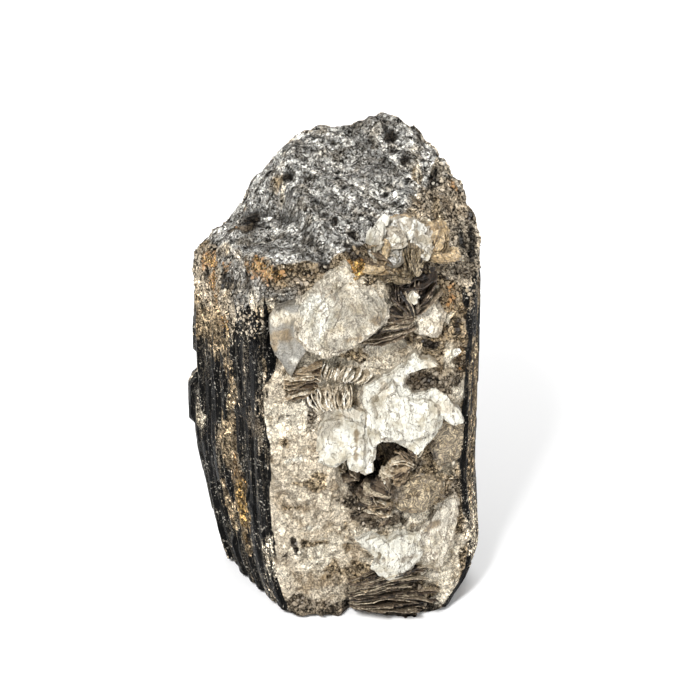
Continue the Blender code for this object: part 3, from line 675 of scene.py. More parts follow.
def closed_mesh(name: str, points: Array, faces: Sequence[Sequence[int]]) -> Mesh:
    """Makes a mesh of points in millimetres from the prism's axis.

    Args:
        name: The mesh's name.
        points: Rows of x, y and z.
        faces: Corner indices of each face, facing outwards.

    Returns:
        The mesh, in metres in the frame.
    """
    mesh = bpy.data.meshes.new(name)
    mesh.from_pydata(((np.asarray(points) + AXIS_PLACE) * MM).tolist(), [], [list(face) for face in faces])
    mesh.update()
    return mesh


def store(mesh: Mesh, name: str, values: Array) -> None:
    """Stores a number or a colour for every point of a mesh.

    Args:
        mesh: The mesh.
        name: The attribute's name.
        values: One number for each point, or rows of red, green and blue.
    """
    if values.ndim == 1:
        layer = mesh.attributes.new(name, "FLOAT", "POINT")
        layer.data.foreach_set("value", values.astype(np.float32))
        return
    layer = mesh.attributes.new(name, "FLOAT_COLOR", "POINT")
    rows = np.concatenate([values, np.ones((len(values), 1))], axis=1).astype(np.float32)
    layer.data.foreach_set("color", rows.ravel())


def hold_inside(mesh: Mesh, low: Sequence[float], high: Sequence[float]) -> None:
    """Moves the points of a mesh that lie outside a box onto its faces.

    Args:
        mesh: The mesh.
        low: The box's lowest corner.
        high: The box's highest corner.
    """
    points = np.empty(len(mesh.vertices) * 3)
    mesh.vertices.foreach_get("co", points)
    points = np.clip(points.reshape(-1, 3), low, high)
    mesh.vertices.foreach_set("co", points.ravel())
    mesh.update()


def place_piece(name: str, mesh: Mesh, material: Material) -> Object:
    """Adds a finished piece to the scene, riding on the specimen.

    Args:
        name: The piece's name.
        mesh: Its mesh, in the frame.
        material: Its finish.

    Returns:
        The piece.
    """
    mesh.materials.clear()
    mesh.materials.append(material)
    piece = bpy.data.objects.new(name, mesh)
    bpy.context.scene.collection.objects.link(piece)
    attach(piece, BODY)
    return piece


def flat_patch(outline: Array, spacing: float) -> tuple[Array, Faces]:
    """Fills a closed outline with triangles of about one size.

    Args:
        outline: Rows of plan coordinates, in order.
        spacing: Distance between the points inside.

    Returns:
        The points, the outline's first, and the triangles, counter-clockwise.
    """
    low, high = outline.min(axis=0), outline.max(axis=0)
    row_gap = spacing * math.sin(math.pi / 3)
    rows = np.arange(low[1], high[1], row_gap)
    starts = [low[0] + (k % 2) * spacing / 2 for k in range(len(rows))]
    grid = [(x, y) for start, y in zip(starts, rows) for x in np.arange(start, high[0], spacing)]
    inside = np.array(grid).reshape(-1, 2)
    inside = inside[within(inside, outline, spacing * 0.5)]
    points = [Vector(p) for p in outline] + [Vector(p) for p in inside]
    edges = [(i, (i + 1) % len(outline)) for i in range(len(outline))]
    found, _, faces, _, _, _ = delaunay_2d_cdt(points, edges, [], 1, 1e-6)
    return np.array([tuple(p) for p in found]), [list(face) for face in faces]


def within(points: Array, outline: Array, margin: float) -> Array:
    """Returns whether each plan point lies inside a closed outline, at least a margin from it."""
    crossings = np.zeros(len(points), dtype=int)
    for a, b in zip(outline, np.roll(outline, -1, axis=0)):
        if a[1] != b[1]:
            cut = a[0] + (b - a)[0] * (points[:, 1] - a[1]) / (b - a)[1]
            crossings += ((a[1] > points[:, 1]) != (b[1] > points[:, 1])) & (points[:, 0] < cut)
    return (crossings % 2 == 1) & (edge_distance(points, outline) >= margin)


def stray(dice: random.Random) -> Array:
    """Returns two random numbers from -1 to 1."""
    return np.array([dice.uniform(-1, 1), dice.uniform(-1, 1)])


def edge_distance(points: Array, outline: Array) -> Array:
    """Returns the distance of each plan point from a closed outline."""
    nearest = np.full(len(points), np.inf)
    for a, b in zip(outline, np.roll(outline, -1, axis=0)):
        run = b - a
        share = np.clip(((points - a) @ run) / max(float(run @ run), 1e-12), 0.0, 1.0)
        nearest = np.minimum(nearest, np.linalg.norm(points - a - share[:, None] * run, axis=1))
    return nearest


@dataclass
class Specimen:
    """The tourmaline itself, with the granular ground that the mica lies on.

    Attributes:
        side_columns: Columns of faces round the striated faces.
        front_columns: Columns of faces across the front.
        rows: Rows of faces from the foot to the rim of the top.
        top_spacing: Distance between the points of the top.
        foot_rise: How high the broken lower rim stands over the flat of the foot.
        foot_inset: How far that flat lies inside the rim.
        crumble: How far the crumbled rim reaches down the striated faces.
        rim_height: About where the sides meet the top.
    """

    prism: Prism = field(default_factory=Prism)
    top: BrokenTop = field(default_factory=BrokenTop)
    front: Front = field(default_factory=Front)
    colouring: Colouring = field(default_factory=Colouring)
    side_columns: int = 236
    front_columns: int = 132
    rows: int = 232
    top_spacing: float = 0.75
    foot_rise: float = 1.6
    foot_inset: float = 2.0
    crumble: float = 9.0
    rim_height: float = 105.0

    def columns(self) -> Array:
        """Returns the distance along the outline of each column of points."""
        sides = np.arange(self.side_columns) * self.prism.striated_girth / self.side_columns
        front = self.prism.girth - self.prism.striated_girth
        across = self.prism.striated_girth + np.arange(self.front_columns) * front / self.front_columns
        return np.concatenate([sides, across])

    def side_points(self, girth: Array, z: Array, rim: Array | None = None) -> Array:
        """Returns points of the specimen's side.

        Args:
            girth: Distances along the outline.
            z: Heights.
            rim: The height of the top's rim over each point, where the fine relief is wanted.

        Returns:
            Rows of x, y and z.
        """
        place, outward = self.prism.outline(girth, z)
        rise = self.prism.ridges(girth, z)
        share = self.prism.front_share(girth)
        on_front = girth > self.prism.striated_girth
        relief = np.zeros(girth.shape)
        relief[on_front] = self.front.relief(place[on_front, 0], z[on_front])
        rise += share * relief
        if rim is not None:
            rise += share * (Pattern.layered(place[:, 0], z, self.front.crust) - self.front.crust_depth)
            rise += (1 - share) * self.striations(girth, z, rim)
        place = place + outward * rise[:, None]
        return np.column_stack([place, z])

    def striations(self, girth: Array, z: Array, rim: Array) -> Array:
        """Returns the fine relief of the striated faces: upright strips, and crumbs below the rim."""
        sway = girth + 0.8 * (Pattern.blots(girth, z, 30.0, 61, 2) - 0.5)
        strips = 0.34 * Pattern.facets(sway, z / 9.0, 2.6, 21, 0.2)
        strips += 0.2 * Pattern.facets(sway, z / 14.0, 1.1, 27, 0.1)
        crumbs = Pattern.layered(girth, z, ((0.3, 3.0, 33), (0.16, 1.3, 39)))
        depth = self.crumble * (0.4 + 1.2 * Pattern.blots(girth, z * 0.3, 9.0, 45))
        near_rim = smooth((depth - (rim - z)) / 3.0)
        return strips * (1 - near_rim) * smooth(z / 8.0) + (crumbs - 0.2) * near_rim

    def rim_heights(self, girth: Array) -> Array:
        """Returns the height at which each column meets the broken top."""
        height = np.full(girth.shape, self.rim_height)
        for _ in range(4):
            points = self.side_points(girth, height)
            height = self.top.heights(points[:, 0], points[:, 1])
        return height

    def low_heights(self, girth: Array) -> Array:
        """Returns the height of the lower rim over the flat of the foot."""
        sway = np.array([noise.noise(Vector((g / 7.0, 0.0, 5.0))) for g in girth])
        return self.foot_rise * (1.0 + 0.6 * sway)

    def build(self) -> Mesh:
        """Builds the whole closed surface, with the colours and the kinds of ground stored on it.

        Returns:
            The mesh, in the frame.
        """
        girth = self.columns()
        count = len(girth)
        rim, low = self.rim_heights(girth), self.low_heights(girth)
        share = np.linspace(0.0, 1.0, self.rows + 1)
        z = low[None, :] + (rim - low)[None, :] * share[:, None]
        all_girth = np.tile(girth, self.rows + 1)
        all_rim = np.tile(rim, self.rows + 1)
        side = self.side_points(all_girth, z.ravel(), all_rim)
        round_it = [(i, (i + 1) % count) for i in range(count)]
        lower = [row * count for row in range(self.rows)]
        faces = [(at + i, at + j, at + count + j, at + count + i) for at in lower for i, j in round_it]
        cap, cap_faces = self.top_cap(side[-count:])
        start = self.rows * count
        faces += [tuple(start + k for k in reversed(face)) for face in cap_faces]
        foot = self.foot_ring(girth)
        points = np.concatenate([side, cap[count:], foot])
        first = len(points) - count
        faces += [(first + i, first + j, j, i) for i, j in round_it]
        faces.append(tuple(range(first + count - 1, first - 1, -1)))
        mesh = closed_mesh("specimen", points, [face[::-1] for face in faces])
        self.dress(mesh, points, all_girth, all_rim)
        return mesh

    def top_cap(self, rim: Array) -> tuple[Array, Faces]:
        """Returns the points and faces of the broken top inside its rim.

        Args:
            rim: The rim's points, in order.

        Returns:
            Points, the rim's first, and triangles over them.
        """
        flat, faces = flat_patch(rim[:, :2], self.top_spacing)
        inner = flat[len(rim) :]
        gap = np.array([np.hypot(*(rim[:, :2] - p).T).min() for p in inner])
        height = self.top.heights(inner[:, 0], inner[:, 1])
        slant, across = inner[:, 0] + inner[:, 1], (inner[:, 0] - inner[:, 1]) / 2.2
        rough = Pattern.layered(slant, across, ((0.7, 5.2, 51), (0.34, 2.2, 57)))
        rough += Pattern.layered(inner[:, 0], inner[:, 1], ((0.14, 1.3, 63),))
        height += rough * smooth(gap / 1.6)
        return np.concatenate([rim, np.column_stack([inner, height])]), faces

    def foot_ring(self, girth: Array) -> Array:
        """Returns the outline of the flat that the specimen rests on."""
        ground = np.zeros(girth.shape)
        place, outward = self.prism.outline(girth, ground)
        sunk = np.minimum(0.0, self.prism.front_share(girth) * self.front.relief(place[:, 0], ground))
        place = place - outward * (self.foot_inset - sunk)[:, None]
        return np.column_stack([place, ground])

    def dress(self, mesh: Mesh, points: Array, girth: Array, rim: Array) -> None:
        """Stores the colour of every point, and how far each kind of ground covers it.

        Args:
            mesh: The specimen's mesh.
            points: Its points, in millimetres: the sides', then the top's, then the foot's.
            girth: Distance along the outline of the sides' points.
            rim: Height of the top's rim over the sides' points.
        """
        on_sides = self.side_looks(points[: len(girth)], girth, rim)
        for name, values in self.top_looks(points[len(girth) :]).items():
            store(mesh, name, np.concatenate([on_sides[name], values]))

    def side_looks(self, points: Array, girth: Array, rim: Array) -> dict[str, Array]:
        """Returns what is stored for the sides' points, by name; the arguments are those of dress."""
        paint = self.colouring
        x, y, z = points.T
        crumb, pale = np.array(Tone.CRUMB.value), np.array(Tone.SAND.value)
        ground = pale + (crumb - pale) * Pattern.blots(girth, z / 4.0, 5.0, 91)[:, None]
        tone, cover, stain = paint.painted(ground, paint.sides, girth, z, 4.0)
        streaks = Pattern.blots(girth, z / 9.0, 3.2, 93, 4)
        reach = self.crumble * (0.5 + Pattern.blots(girth, z * 0.5, 7.0, 71))
        under_rim = smooth(1.3 - (rim - z) / reach)
        black = paint.uncovered(paint.sides, girth, z, 4.0)
        coat = np.maximum(cover, np.maximum(smooth((streaks - 0.5) * 5.0) * 0.62, under_rim) * black)
        ground = np.tile(np.array(Tone.TAN.value), (len(z), 1)) * 0.85
        crust_tone, _, crust_stain = paint.painted(ground, paint.front, x, z)
        bare = paint.uncovered(paint.front, x, z, 3.0)
        ragged = Pattern.blots(girth, z / 3.0, 2.5, 77) - 0.5
        inside = np.minimum(girth - self.prism.striated_girth, self.prism.girth - girth)
        crusted = smooth(inside + ragged * 3.0)
        tone += (crust_tone - tone) * crusted[:, None]
        stain += (crust_stain - stain) * crusted
        coat += (bare - coat) * crusted
        tone *= 1 + 0.3 * (1 - crusted[:, None])
        bevel = smooth((-8.0 - x) / 3.0) * smooth((z - 89.0) / 2.0)
        bevel_tone, _, bevel_stain = paint.painted(tone, paint.bevel, self.top.along_bevel(x, y), z)
        tone += (bevel_tone - tone) * bevel[:, None]
        above = smooth(z / 2.0 - 1.0)
        pale_share = smooth((crust_tone @ (0.3, 0.6, 0.1) - 0.3) / 0.25)
        flaked = crusted * self.prism.front_share(girth) * above * smooth(bare * 2 - 1)
        crumbled = under_rim * (1 - crusted)
        return {
            "tone": tone,
            "stain": np.maximum(stain, bevel_stain * bevel),
            "coat": coat,
            "upright": (1 - crusted * 0.9) * (1 - 0.75 * under_rim) * (1 - 0.9 * bevel),
            "calm": crusted * pale_share,
            "crust": flaked * (1 - 0.9 * pale_share),
            "top": crumbled * above,
            "shoulder": 0.5 * crumbled,
            "flat": np.zeros(len(z)),
            "girth": girth * MM,
        }

    def top_looks(self, points: Array) -> dict[str, Array]:
        """Returns what is stored for the points of the top and of the foot, by name."""
        paint = self.colouring
        x, y, z = points.T
        fracture, crumb, sand, shade_black = (
            np.array(tone.value) for tone in (Tone.FRACTURE, Tone.CRUMB, Tone.SAND, Tone.SOOT)
        )
        shoulder, left = self.top.shoulder_share(x, y), self.top.left_share(x, y)
        speck = smooth((Pattern.blots(x, y, 3.0, 83, 4) - 0.5) * 5 + shoulder * 4.5 - 2.4)
        # The broken top's grey, in lighter and darker bands along its steps, is painted sheen of sky light on
        # the black schorl.
        streak = Pattern.blots((x + y) / 1.2, (x - y) / 5.0, 3.0, 89, 4)[:, None]
        grey = fracture * np.clip(0.15 + 1.75 * streak, 0.4, 1.4)
        brown = crumb + (sand - crumb) * Pattern.blots(x, y, 3.0, 87)[:, None]
        browned = np.maximum(speck, left)
        tone, _, stain = paint.painted(grey + (brown - grey) * browned[:, None], paint.top, x, y)
        # A painted shade darkens the crevice at the foot of the step across the top.
        ragged = Pattern.blots(x, y, 1.6, 95, 4) - 0.5
        off = np.abs(self.top.side_of_step(x, y) + 1.6 + 2.0 * ragged)
        step_shade = smooth(1.7 - off / 0.7 + 3.0 * ragged) * ((1 - browned) * 0.75)
        tone += (shade_black - tone) * step_shade[:, None]
        left_tone, _, left_stain = paint.painted(tone, paint.bevel, self.top.along_bevel(x, y), z)
        tone += (left_tone - tone) * left[:, None]
        foot = z < 1.0
        tone[foot] = Tone.DUST.value
        loose, nothing = np.maximum(shoulder, left), np.zeros(len(z))
        return {
            "tone": tone,
            "stain": np.maximum(stain, left_stain * left),
            "coat": np.ones(len(z)),
            "upright": nothing,
            "calm": nothing,
            "crust": nothing,
            "top": (1 - foot) * (0.12 + 0.88 * left),
            "shoulder": (1 - foot) * loose,
            "flat": (1 - foot) * (1 - loose),
            "girth": nothing,
        }


# ---- materials


class Value:
    """An output of a node, which arithmetic turns into further Math nodes."""

    def __init__(self, graph: Graph, socket: NodeSocket) -> None:
        """Wraps a socket of a graph."""
        self.graph = graph
        self.socket = socket

    def _math(self, operation: str, *values: Value | float) -> Value:
        """Adds a Math node and returns its result."""
        return self.graph.add("ShaderNodeMath", {"operation": operation}, dict(enumerate(values)))

    def __add__(self, other: Value | float) -> Value:
        """Returns the sum."""
        return self._math("ADD", self, other)

    __radd__ = __add__

    def __mul__(self, other: Value | float) -> Value:
        """Returns the product."""
        return self._math("MULTIPLY", self, other)

    __rmul__ = __mul__

    def __sub__(self, other: Value | float) -> Value:
        """Returns the difference."""
        return self._math("SUBTRACT", self, other)

    def __rsub__(self, other: Value | float) -> Value:
        """Returns the difference the other way round."""
        return self._math("SUBTRACT", other, self)

    def __abs__(self) -> Value:
        """Returns the size without the sign."""
        return self._math("ABSOLUTE", self)

    def fraction(self) -> Value:
        """Returns what is over the whole number below."""
        return self._math("FRACT", self)


class Graph:
    """A node tree written as expressions."""

    def __init__(self, tree: NodeTree) -> None:
        """Wraps a node tree."""
        self.tree = tree

    def add(
        self,
        kind: str,
        settings: dict[str, object] | None = None,
        inputs: dict[str | int, object] | None = None,
        output: str | int = 0,
    ) -> Value:
        """Adds a node.

        Args:
            kind: The node's type.
            settings: Its settings, set before its sockets. stops are a ramp's places and colours.
            inputs: A value or a link for each socket, by name or number.
            output: The socket to return.

        Returns:
            The node's output.
        """
        node = self.tree.nodes.new(kind)
        for key, setting in (settings or {}).items():
            if key == "stops":
                self._set_stops(node.color_ramp, setting)
            else:
                setattr(node, key, setting)
        for key, value in (inputs or {}).items():
            if isinstance(value, Value):
                self.tree.links.new(value.socket, node.inputs[key])
            else:
                node.inputs[key].default_value = value
        return Value(self, node.outputs[output] if len(node.outputs) else None)

    @staticmethod
    def _set_stops(ramp: ColorRamp, stops: Sequence[tuple]) -> None:
        """Gives a ramp its stops, whose colours may be levels of grey."""
        while len(ramp.elements) < len(stops):
            ramp.elements.new(1.0)
        for element, (place, colour) in zip(ramp.elements, stops):
            element.position = place
            element.color = (*(colour if isinstance(colour, tuple) else (colour,) * 3), 1.0)

    def vector(self, x: Value | float = 0.0, y: Value | float = 0.0, z: Value | float = 0.0) -> Value:
        """Returns a vector of three numbers."""
        return self.add("ShaderNodeCombineXYZ", None, {"X": x, "Y": y, "Z": z})

    def attribute(self, name: str, output: str = "Fac") -> Value:
        """Returns an attribute of the mesh."""
        return self.add("ShaderNodeAttribute", {"attribute_name": name}, None, output)

    def blend(self, share: Value | float, first: object, second: object, mode: str = "MIX") -> Value:
        """Returns a mix of two colours."""
        settings = {"data_type": "RGBA", "blend_type": mode, "clamp_factor": True}
        return self.add("ShaderNodeMix", settings, {0: share, 6: first, 7: second}, 2)

    def tint(self, colour: Value, by: object, share: Value | float = 1.0) -> Value:
        """Returns a colour multiplied by another, as far as the share says."""
        return self.blend(share, colour, by, "MULTIPLY")

    def ramp(self, value: Value, *stops: tuple) -> Value:
        """Returns a colour looked up along a ramp of places, each with its colour or level of grey."""
        return self.add("ShaderNodeValToRGB", {"stops": stops}, {"Fac": value})

    def grade(self, value: Value, low: float, high: float, start: float = 0.0, end: float = 1.0) -> Value:
        """Returns a value stretched from one range to another and held there."""
        inputs = {"Value": value, "From Min": low, "From Max": high, "To Min": start, "To Max": end}
        return self.add("ShaderNodeMapRange", None, inputs)

    def clouds(self, vector: Value, size: float, detail: float = 4.0, roughness: float = 0.6) -> Value:
        """Returns noise whose clouds are about so many millimetres across."""
        inputs = {"Vector": vector, "Scale": 1 / (size * MM), "Detail": detail, "Roughness": roughness}
        return self.add("ShaderNodeTexNoise", None, inputs)

    def bent(self, vector: Value, size: float, reach: float) -> Value:
        """Returns a vector pushed about by noise of a size, as far as a reach, both in millimetres."""
        inputs = {"Vector": vector, "Scale": 1 / (size * MM), "Detail": 3.0}
        push = self.add("ShaderNodeTexNoise", None, inputs, "Color")
        settings = {"operation": "MULTIPLY_ADD"}
        return self.add("ShaderNodeVectorMath", settings, {0: push, 1: (reach * MM,) * 3, 2: vector})

    def veins(self, vector: Value, size: float, width: float, detail: float = 3.0) -> Value:
        """Returns 1 along thin wavering lines about so many millimetres apart, falling to 0 beside them."""
        return self.grade(abs(self.clouds(vector, size, detail, 0.6) - 0.5), 0.0, width, 1.0, 0.0)

    def cells(self, vector: Value, size: float, feature: str = "F1", output: str = "Color") -> Value:
        """Returns a random level for each grain about so many millimetres across, or how far its rim is."""
        inputs = {"Vector": vector, "Scale": 1 / (size * MM)}
        return self.add("ShaderNodeTexVoronoi", {"feature": feature}, inputs, output)

    def rims(self, vector: Value, size: float, width: float) -> Value:
        """Returns 1 on the thin rims of grains, falling to 0 beside them."""
        away = self.cells(vector, size, "DISTANCE_TO_EDGE", "Distance")
        return self.grade(away, width * 0.3, width, 1.0, 0.0)

    def punch(self, colour: Value, share: float, gain: float) -> Value:
        """Returns a colour with more contrast, which parts at a lightness of 1 / gain."""
        lightness = self.add("ShaderNodeRGBToBW", None, {"Color": colour}) * gain
        return self.blend(share, colour, self.tint(colour, lightness))

    def strands(self, vector: Value, size: float, count: float) -> Value:
        """Returns a value that rises from 0 to 1 again and again, like layers cut across."""
        return (self.clouds(self.bent(vector, size * 0.6, size * 0.5), size, 1.5, 0.5) * count).fraction()


class Finish(Graph):
    """A material, with the start, the end and the patterns of the ground that several share."""

    def __init__(self, name: str) -> None:
        """Makes an empty material."""
        self.material = bpy.data.materials.new(name)
        self.material.use_nodes = True
        self.material.node_tree.nodes.clear()
        super().__init__(self.material.node_tree)
        self.place = self.add("ShaderNodeTexCoord", None, None, "Object")

    @cached_property
    def grain(self) -> Value:
        """The noise of the granular ground."""
        return self.clouds(self.place, 1.3, 7.0, 0.8)

    @cached_property
    def drift(self) -> Value:
        """The slow changes over the ground."""
        return self.clouds(self.place, 5.0, 5.0, 0.6)

    def drifted(self, colour: Value) -> Value:
        """Returns a colour that changes slowly over the ground."""
        level = self.ramp(self.drift, (0.36, (0.74, 0.67, 0.58)), (0.5, 1.0), (0.64, 1.12))
        return self.tint(colour, level)

    def rimmed(self, colour: Value, low: float, high: float, share: Value | float) -> Value:
        """Returns a colour with the grains' dark rims, fading in as the ground's noise passes low to high."""
        rims = self.grain_rims * self.grade(self.grain, low, high)
        return self.blend(rims * share, colour, (0.1, 0.076, 0.054, 1.0))

    @cached_property
    def grain_rims(self) -> Value:
        """The rims of the ground's grains."""
        return self.rims(self.bent(self.place, 1.2, 1.8), 1.9, 0.13)

    def close(
        self, colour: Value, roughness: Value | float, height: Value, depth: float, specular: float = 0.5
    ) -> Material:
        """Ends the tree in a shader.

        Args:
            colour: The base colour.
            roughness: The roughness.
            height: The fine relief, from 0 to 1.
            depth: The relief's depth in millimetres.
            specular: How strongly it reflects straight on.

        Returns:
            The material.
        """
        bump = self.add("ShaderNodeBump", None, {"Height": height, "Distance": depth * MM, "Strength": 1.0})
        inputs = {"Base Color": colour, "Roughness": roughness, "Normal": bump}
        inputs["Specular IOR Level"] = specular
        shader = self.add("ShaderNodeBsdfPrincipled", None, inputs)
        self.add("ShaderNodeOutputMaterial", None, {"Surface": shader})
        return self.material


@dataclass(frozen=True)
class GroundFinish:
    """The specimen's own surface: black striated schorl with painted sheen on its striations, the broken
    top's painted grey sheen, and the front's granular ground, with painted shade in its pits.
    """

    name: str = "schorl_and_ground"

    def make(self) -> Material:
        """Makes the material."""
        graph = Finish(self.name)
        place, grain, drift = graph.place, graph.grain, graph.drift
        tone = graph.attribute("tone", "Color")
        upright, flat, calm, stain = (graph.attribute(key) for key in ("upright", "flat", "calm", "stain"))
        girth = graph.attribute("girth")
        height = graph.add("ShaderNodeSeparateXYZ", None, {"Vector": place}, "Z")
        along = graph.vector(girth, height * 0.06)
        lines = graph.clouds(along, 0.8, 6.0, 0.8)
        broad = graph.clouds(along, 3.2, 4.0, 0.6)
        hair = graph.clouds(graph.vector(girth, height * 0.2), 0.45, 5.0, 0.8)
        fine = graph.clouds(place, 0.5, 3.0, 0.75)
        curly = graph.bent(place, 1.3, 1.6)
        dark_veins = graph.veins(curly, 2.0, 0.05)
        pale_veins = graph.veins(curly, 1.4, 0.045) * graph.grade(grain, 0.42, 0.52)
        part = (graph.clouds(graph.bent(place, 1.4, 1.8), 4.6, 5.0, 0.62) * 11.0).fraction()
        seam = graph.grade(part, 0.08, 0.24, 1.0, 0.0) * graph.grade(grain, 0.42, 0.5)
        rims = graph.grain_rims * graph.grade(grain, 0.47, 0.53)
        streaks = ((lines - 0.5) * 2.4 + (broad - 0.5) * 1.8 + (grain - 0.5) * 1.6) * upright
        edge = graph.attribute("coat") * (1.0 - 0.3 * upright) + streaks + (fine - 0.5) * 0.8
        coated = graph.grade(edge, 0.42, 0.54)
        stained = graph.grade(stain + (grain - 0.5) * 2.6 + (fine - 0.5) * 1.8, 0.5, 0.8)
        rust = stain * 0.4 + (grain - 0.5) * 1.8
        stops = ((0.2, (0.12, 0.065, 0.025)), (0.5, (0.32, 0.18, 0.055)), (0.85, (0.58, 0.36, 0.1)))
        ochre = graph.ramp(rust, *stops)
        rough = graph.drifted(graph.blend(stained * 0.85, tone, ochre))
        lively = 1.0 - calm * 0.85 - flat * 0.3
        grains = graph.cells(graph.bent(place, 0.8, 1.0), 0.75)
        clumps = graph.cells(graph.bent(place, 1.6, 2.4), 2.6)
        for layer in (
            graph.ramp(grain, (0.36, 0.4), (0.45, 0.82), (0.55, 1.1), (0.64, 1.3)),
            graph.ramp(grains, (0.2, 0.32), (0.42, 0.85), (0.6, 1.12), (0.8, 1.5)),
            graph.ramp(clumps, (0.25, 0.5), (0.45, 0.95), (0.6, 1.05), (0.75, 1.3)),
        ):
            rough = graph.tint(rough, layer, lively)
        dark = graph.ramp(dark_veins, (0.0, 1.15), (0.7, (0.13, 0.11, 0.09)))
        rough = graph.tint(rough, dark, 1.0 - calm * 0.7)
        combed = graph.ramp(hair, (0.42, 0.08), (0.52, 1.0), (0.62, 2.0))
        rough = graph.blend(upright * 0.6, rough, graph.tint(rough, combed))
        rough = graph.blend(seam * 0.75, rough, (0.12, 0.092, 0.066, 1.0))
        wisps = graph.veins(graph.bent(place, 1.0, 1.4), 2.2, 0.024, 4.0) * calm
        wisps = wisps * graph.grade(grain, 0.42, 0.5)
        rough = graph.blend(wisps * 0.75, rough, (0.16, 0.12, 0.085, 1.0))
        rough = graph.rimmed(rough, 0.47, 0.53, 0.85 - calm * 0.8 - flat * 0.5)
        bright = graph.blend(0.4, graph.tint(tone, (2.6, 2.55, 2.45, 1.0)), (0.6, 0.53, 0.42, 1.0))
        rough = graph.blend(pale_veins * (1.0 - 0.4 * upright) * lively * 0.65, rough, bright)
        # Painted shade: the pits, sunk in the relief, are coloured nearly black.
        pit_shade = graph.grade(graph.clouds(graph.bent(place, 1.0, 1.5), 2.4, 6.0, 0.75), 0.55, 0.6)
        pit_shade = pit_shade * graph.grade(upright, 0.0, 1.0, 0.9, 0.45) * graph.grade(drift, 0.58, 0.5)
        pit_shade = pit_shade * (1.0 - calm * 0.6)
        rough = graph.blend(pit_shade, rough, (0.012, 0.01, 0.008, 1.0))
        # The pale lines on the bare schorl are painted sheen along its striations, partly tan dust in their
        # grooves.
        sheen = hair + graph.grade(drift, 0.4, 0.62) * 0.05
        stops = ((0.56, 0.0015), (0.62, 0.007), (0.65, (0.1, 0.083, 0.064)), (0.71, (0.6, 0.55, 0.46)))
        bare = graph.ramp(sheen, *stops)
        specks = graph.grade(graph.clouds(place, 0.7, 2.0, 0.6), 0.62, 0.66)
        bare = graph.blend(specks * graph.grade(drift, 0.45, 0.57) * 0.85, bare, (0.6, 0.56, 0.48, 1.0))
        bare = graph.blend(pale_veins * graph.grade(broad, 0.5, 0.6) * 0.7, bare, (0.3, 0.26, 0.2, 1.0))
        colour = graph.blend(coated, bare, graph.punch(rough, 0.5, 2.8))
        relief = (1.0 - coated) * (lines * 0.7 + hair * 0.3)
        relief = relief + coated * (grain * 0.7 + fine * 0.4 + (1.0 - part) * 0.5)
        relief = relief - pit_shade * 0.5 - (dark_veins + rims) * coated * 0.3
        roughness = graph.grade(coated, 0.0, 1.0, 0.38, 0.62) + (fine - 0.5) * 0.3
        return graph.close(colour, roughness, relief, 0.62, 0.06)


@dataclass(frozen=True)
class GrainFinish:
    """Loose flakes and grains, which take their tone from the ground under them."""

    name: str
    pale: tuple[float, float, float]
    bright: float = 1.6
    dull: float = 0.6

    def make(self) -> Material:
        """Makes the material."""
        graph = Finish(self.name)
        shade = graph.attribute("shade")
        fine = graph.clouds(graph.place, 0.5, 3.0, 0.7)
        level = graph.ramp(shade, (0.0, self.dull), (0.25, 0.9), (0.75, 1.0), (1.0, self.bright))
        colour = graph.tint(graph.attribute("tone", "Color"), level)
        colour = graph.blend(graph.grade(shade, 0.9, 1.0, 0.0, 0.6), colour, (*self.pale, 1.0))
        colour = graph.drifted(graph.tint(colour, graph.ramp(fine, (0.35, 0.6), (0.55, 1.1))))
        stained = graph.grade(graph.attribute("stain") + (graph.grain - 0.5) * 2.2, 0.5, 0.7)
        colour = graph.blend(stained * 0.8, colour, (0.34, 0.16, 0.04, 1.0))
        return graph.close(graph.rimmed(colour, 0.46, 0.54, 0.75), 0.45, fine, 0.12)


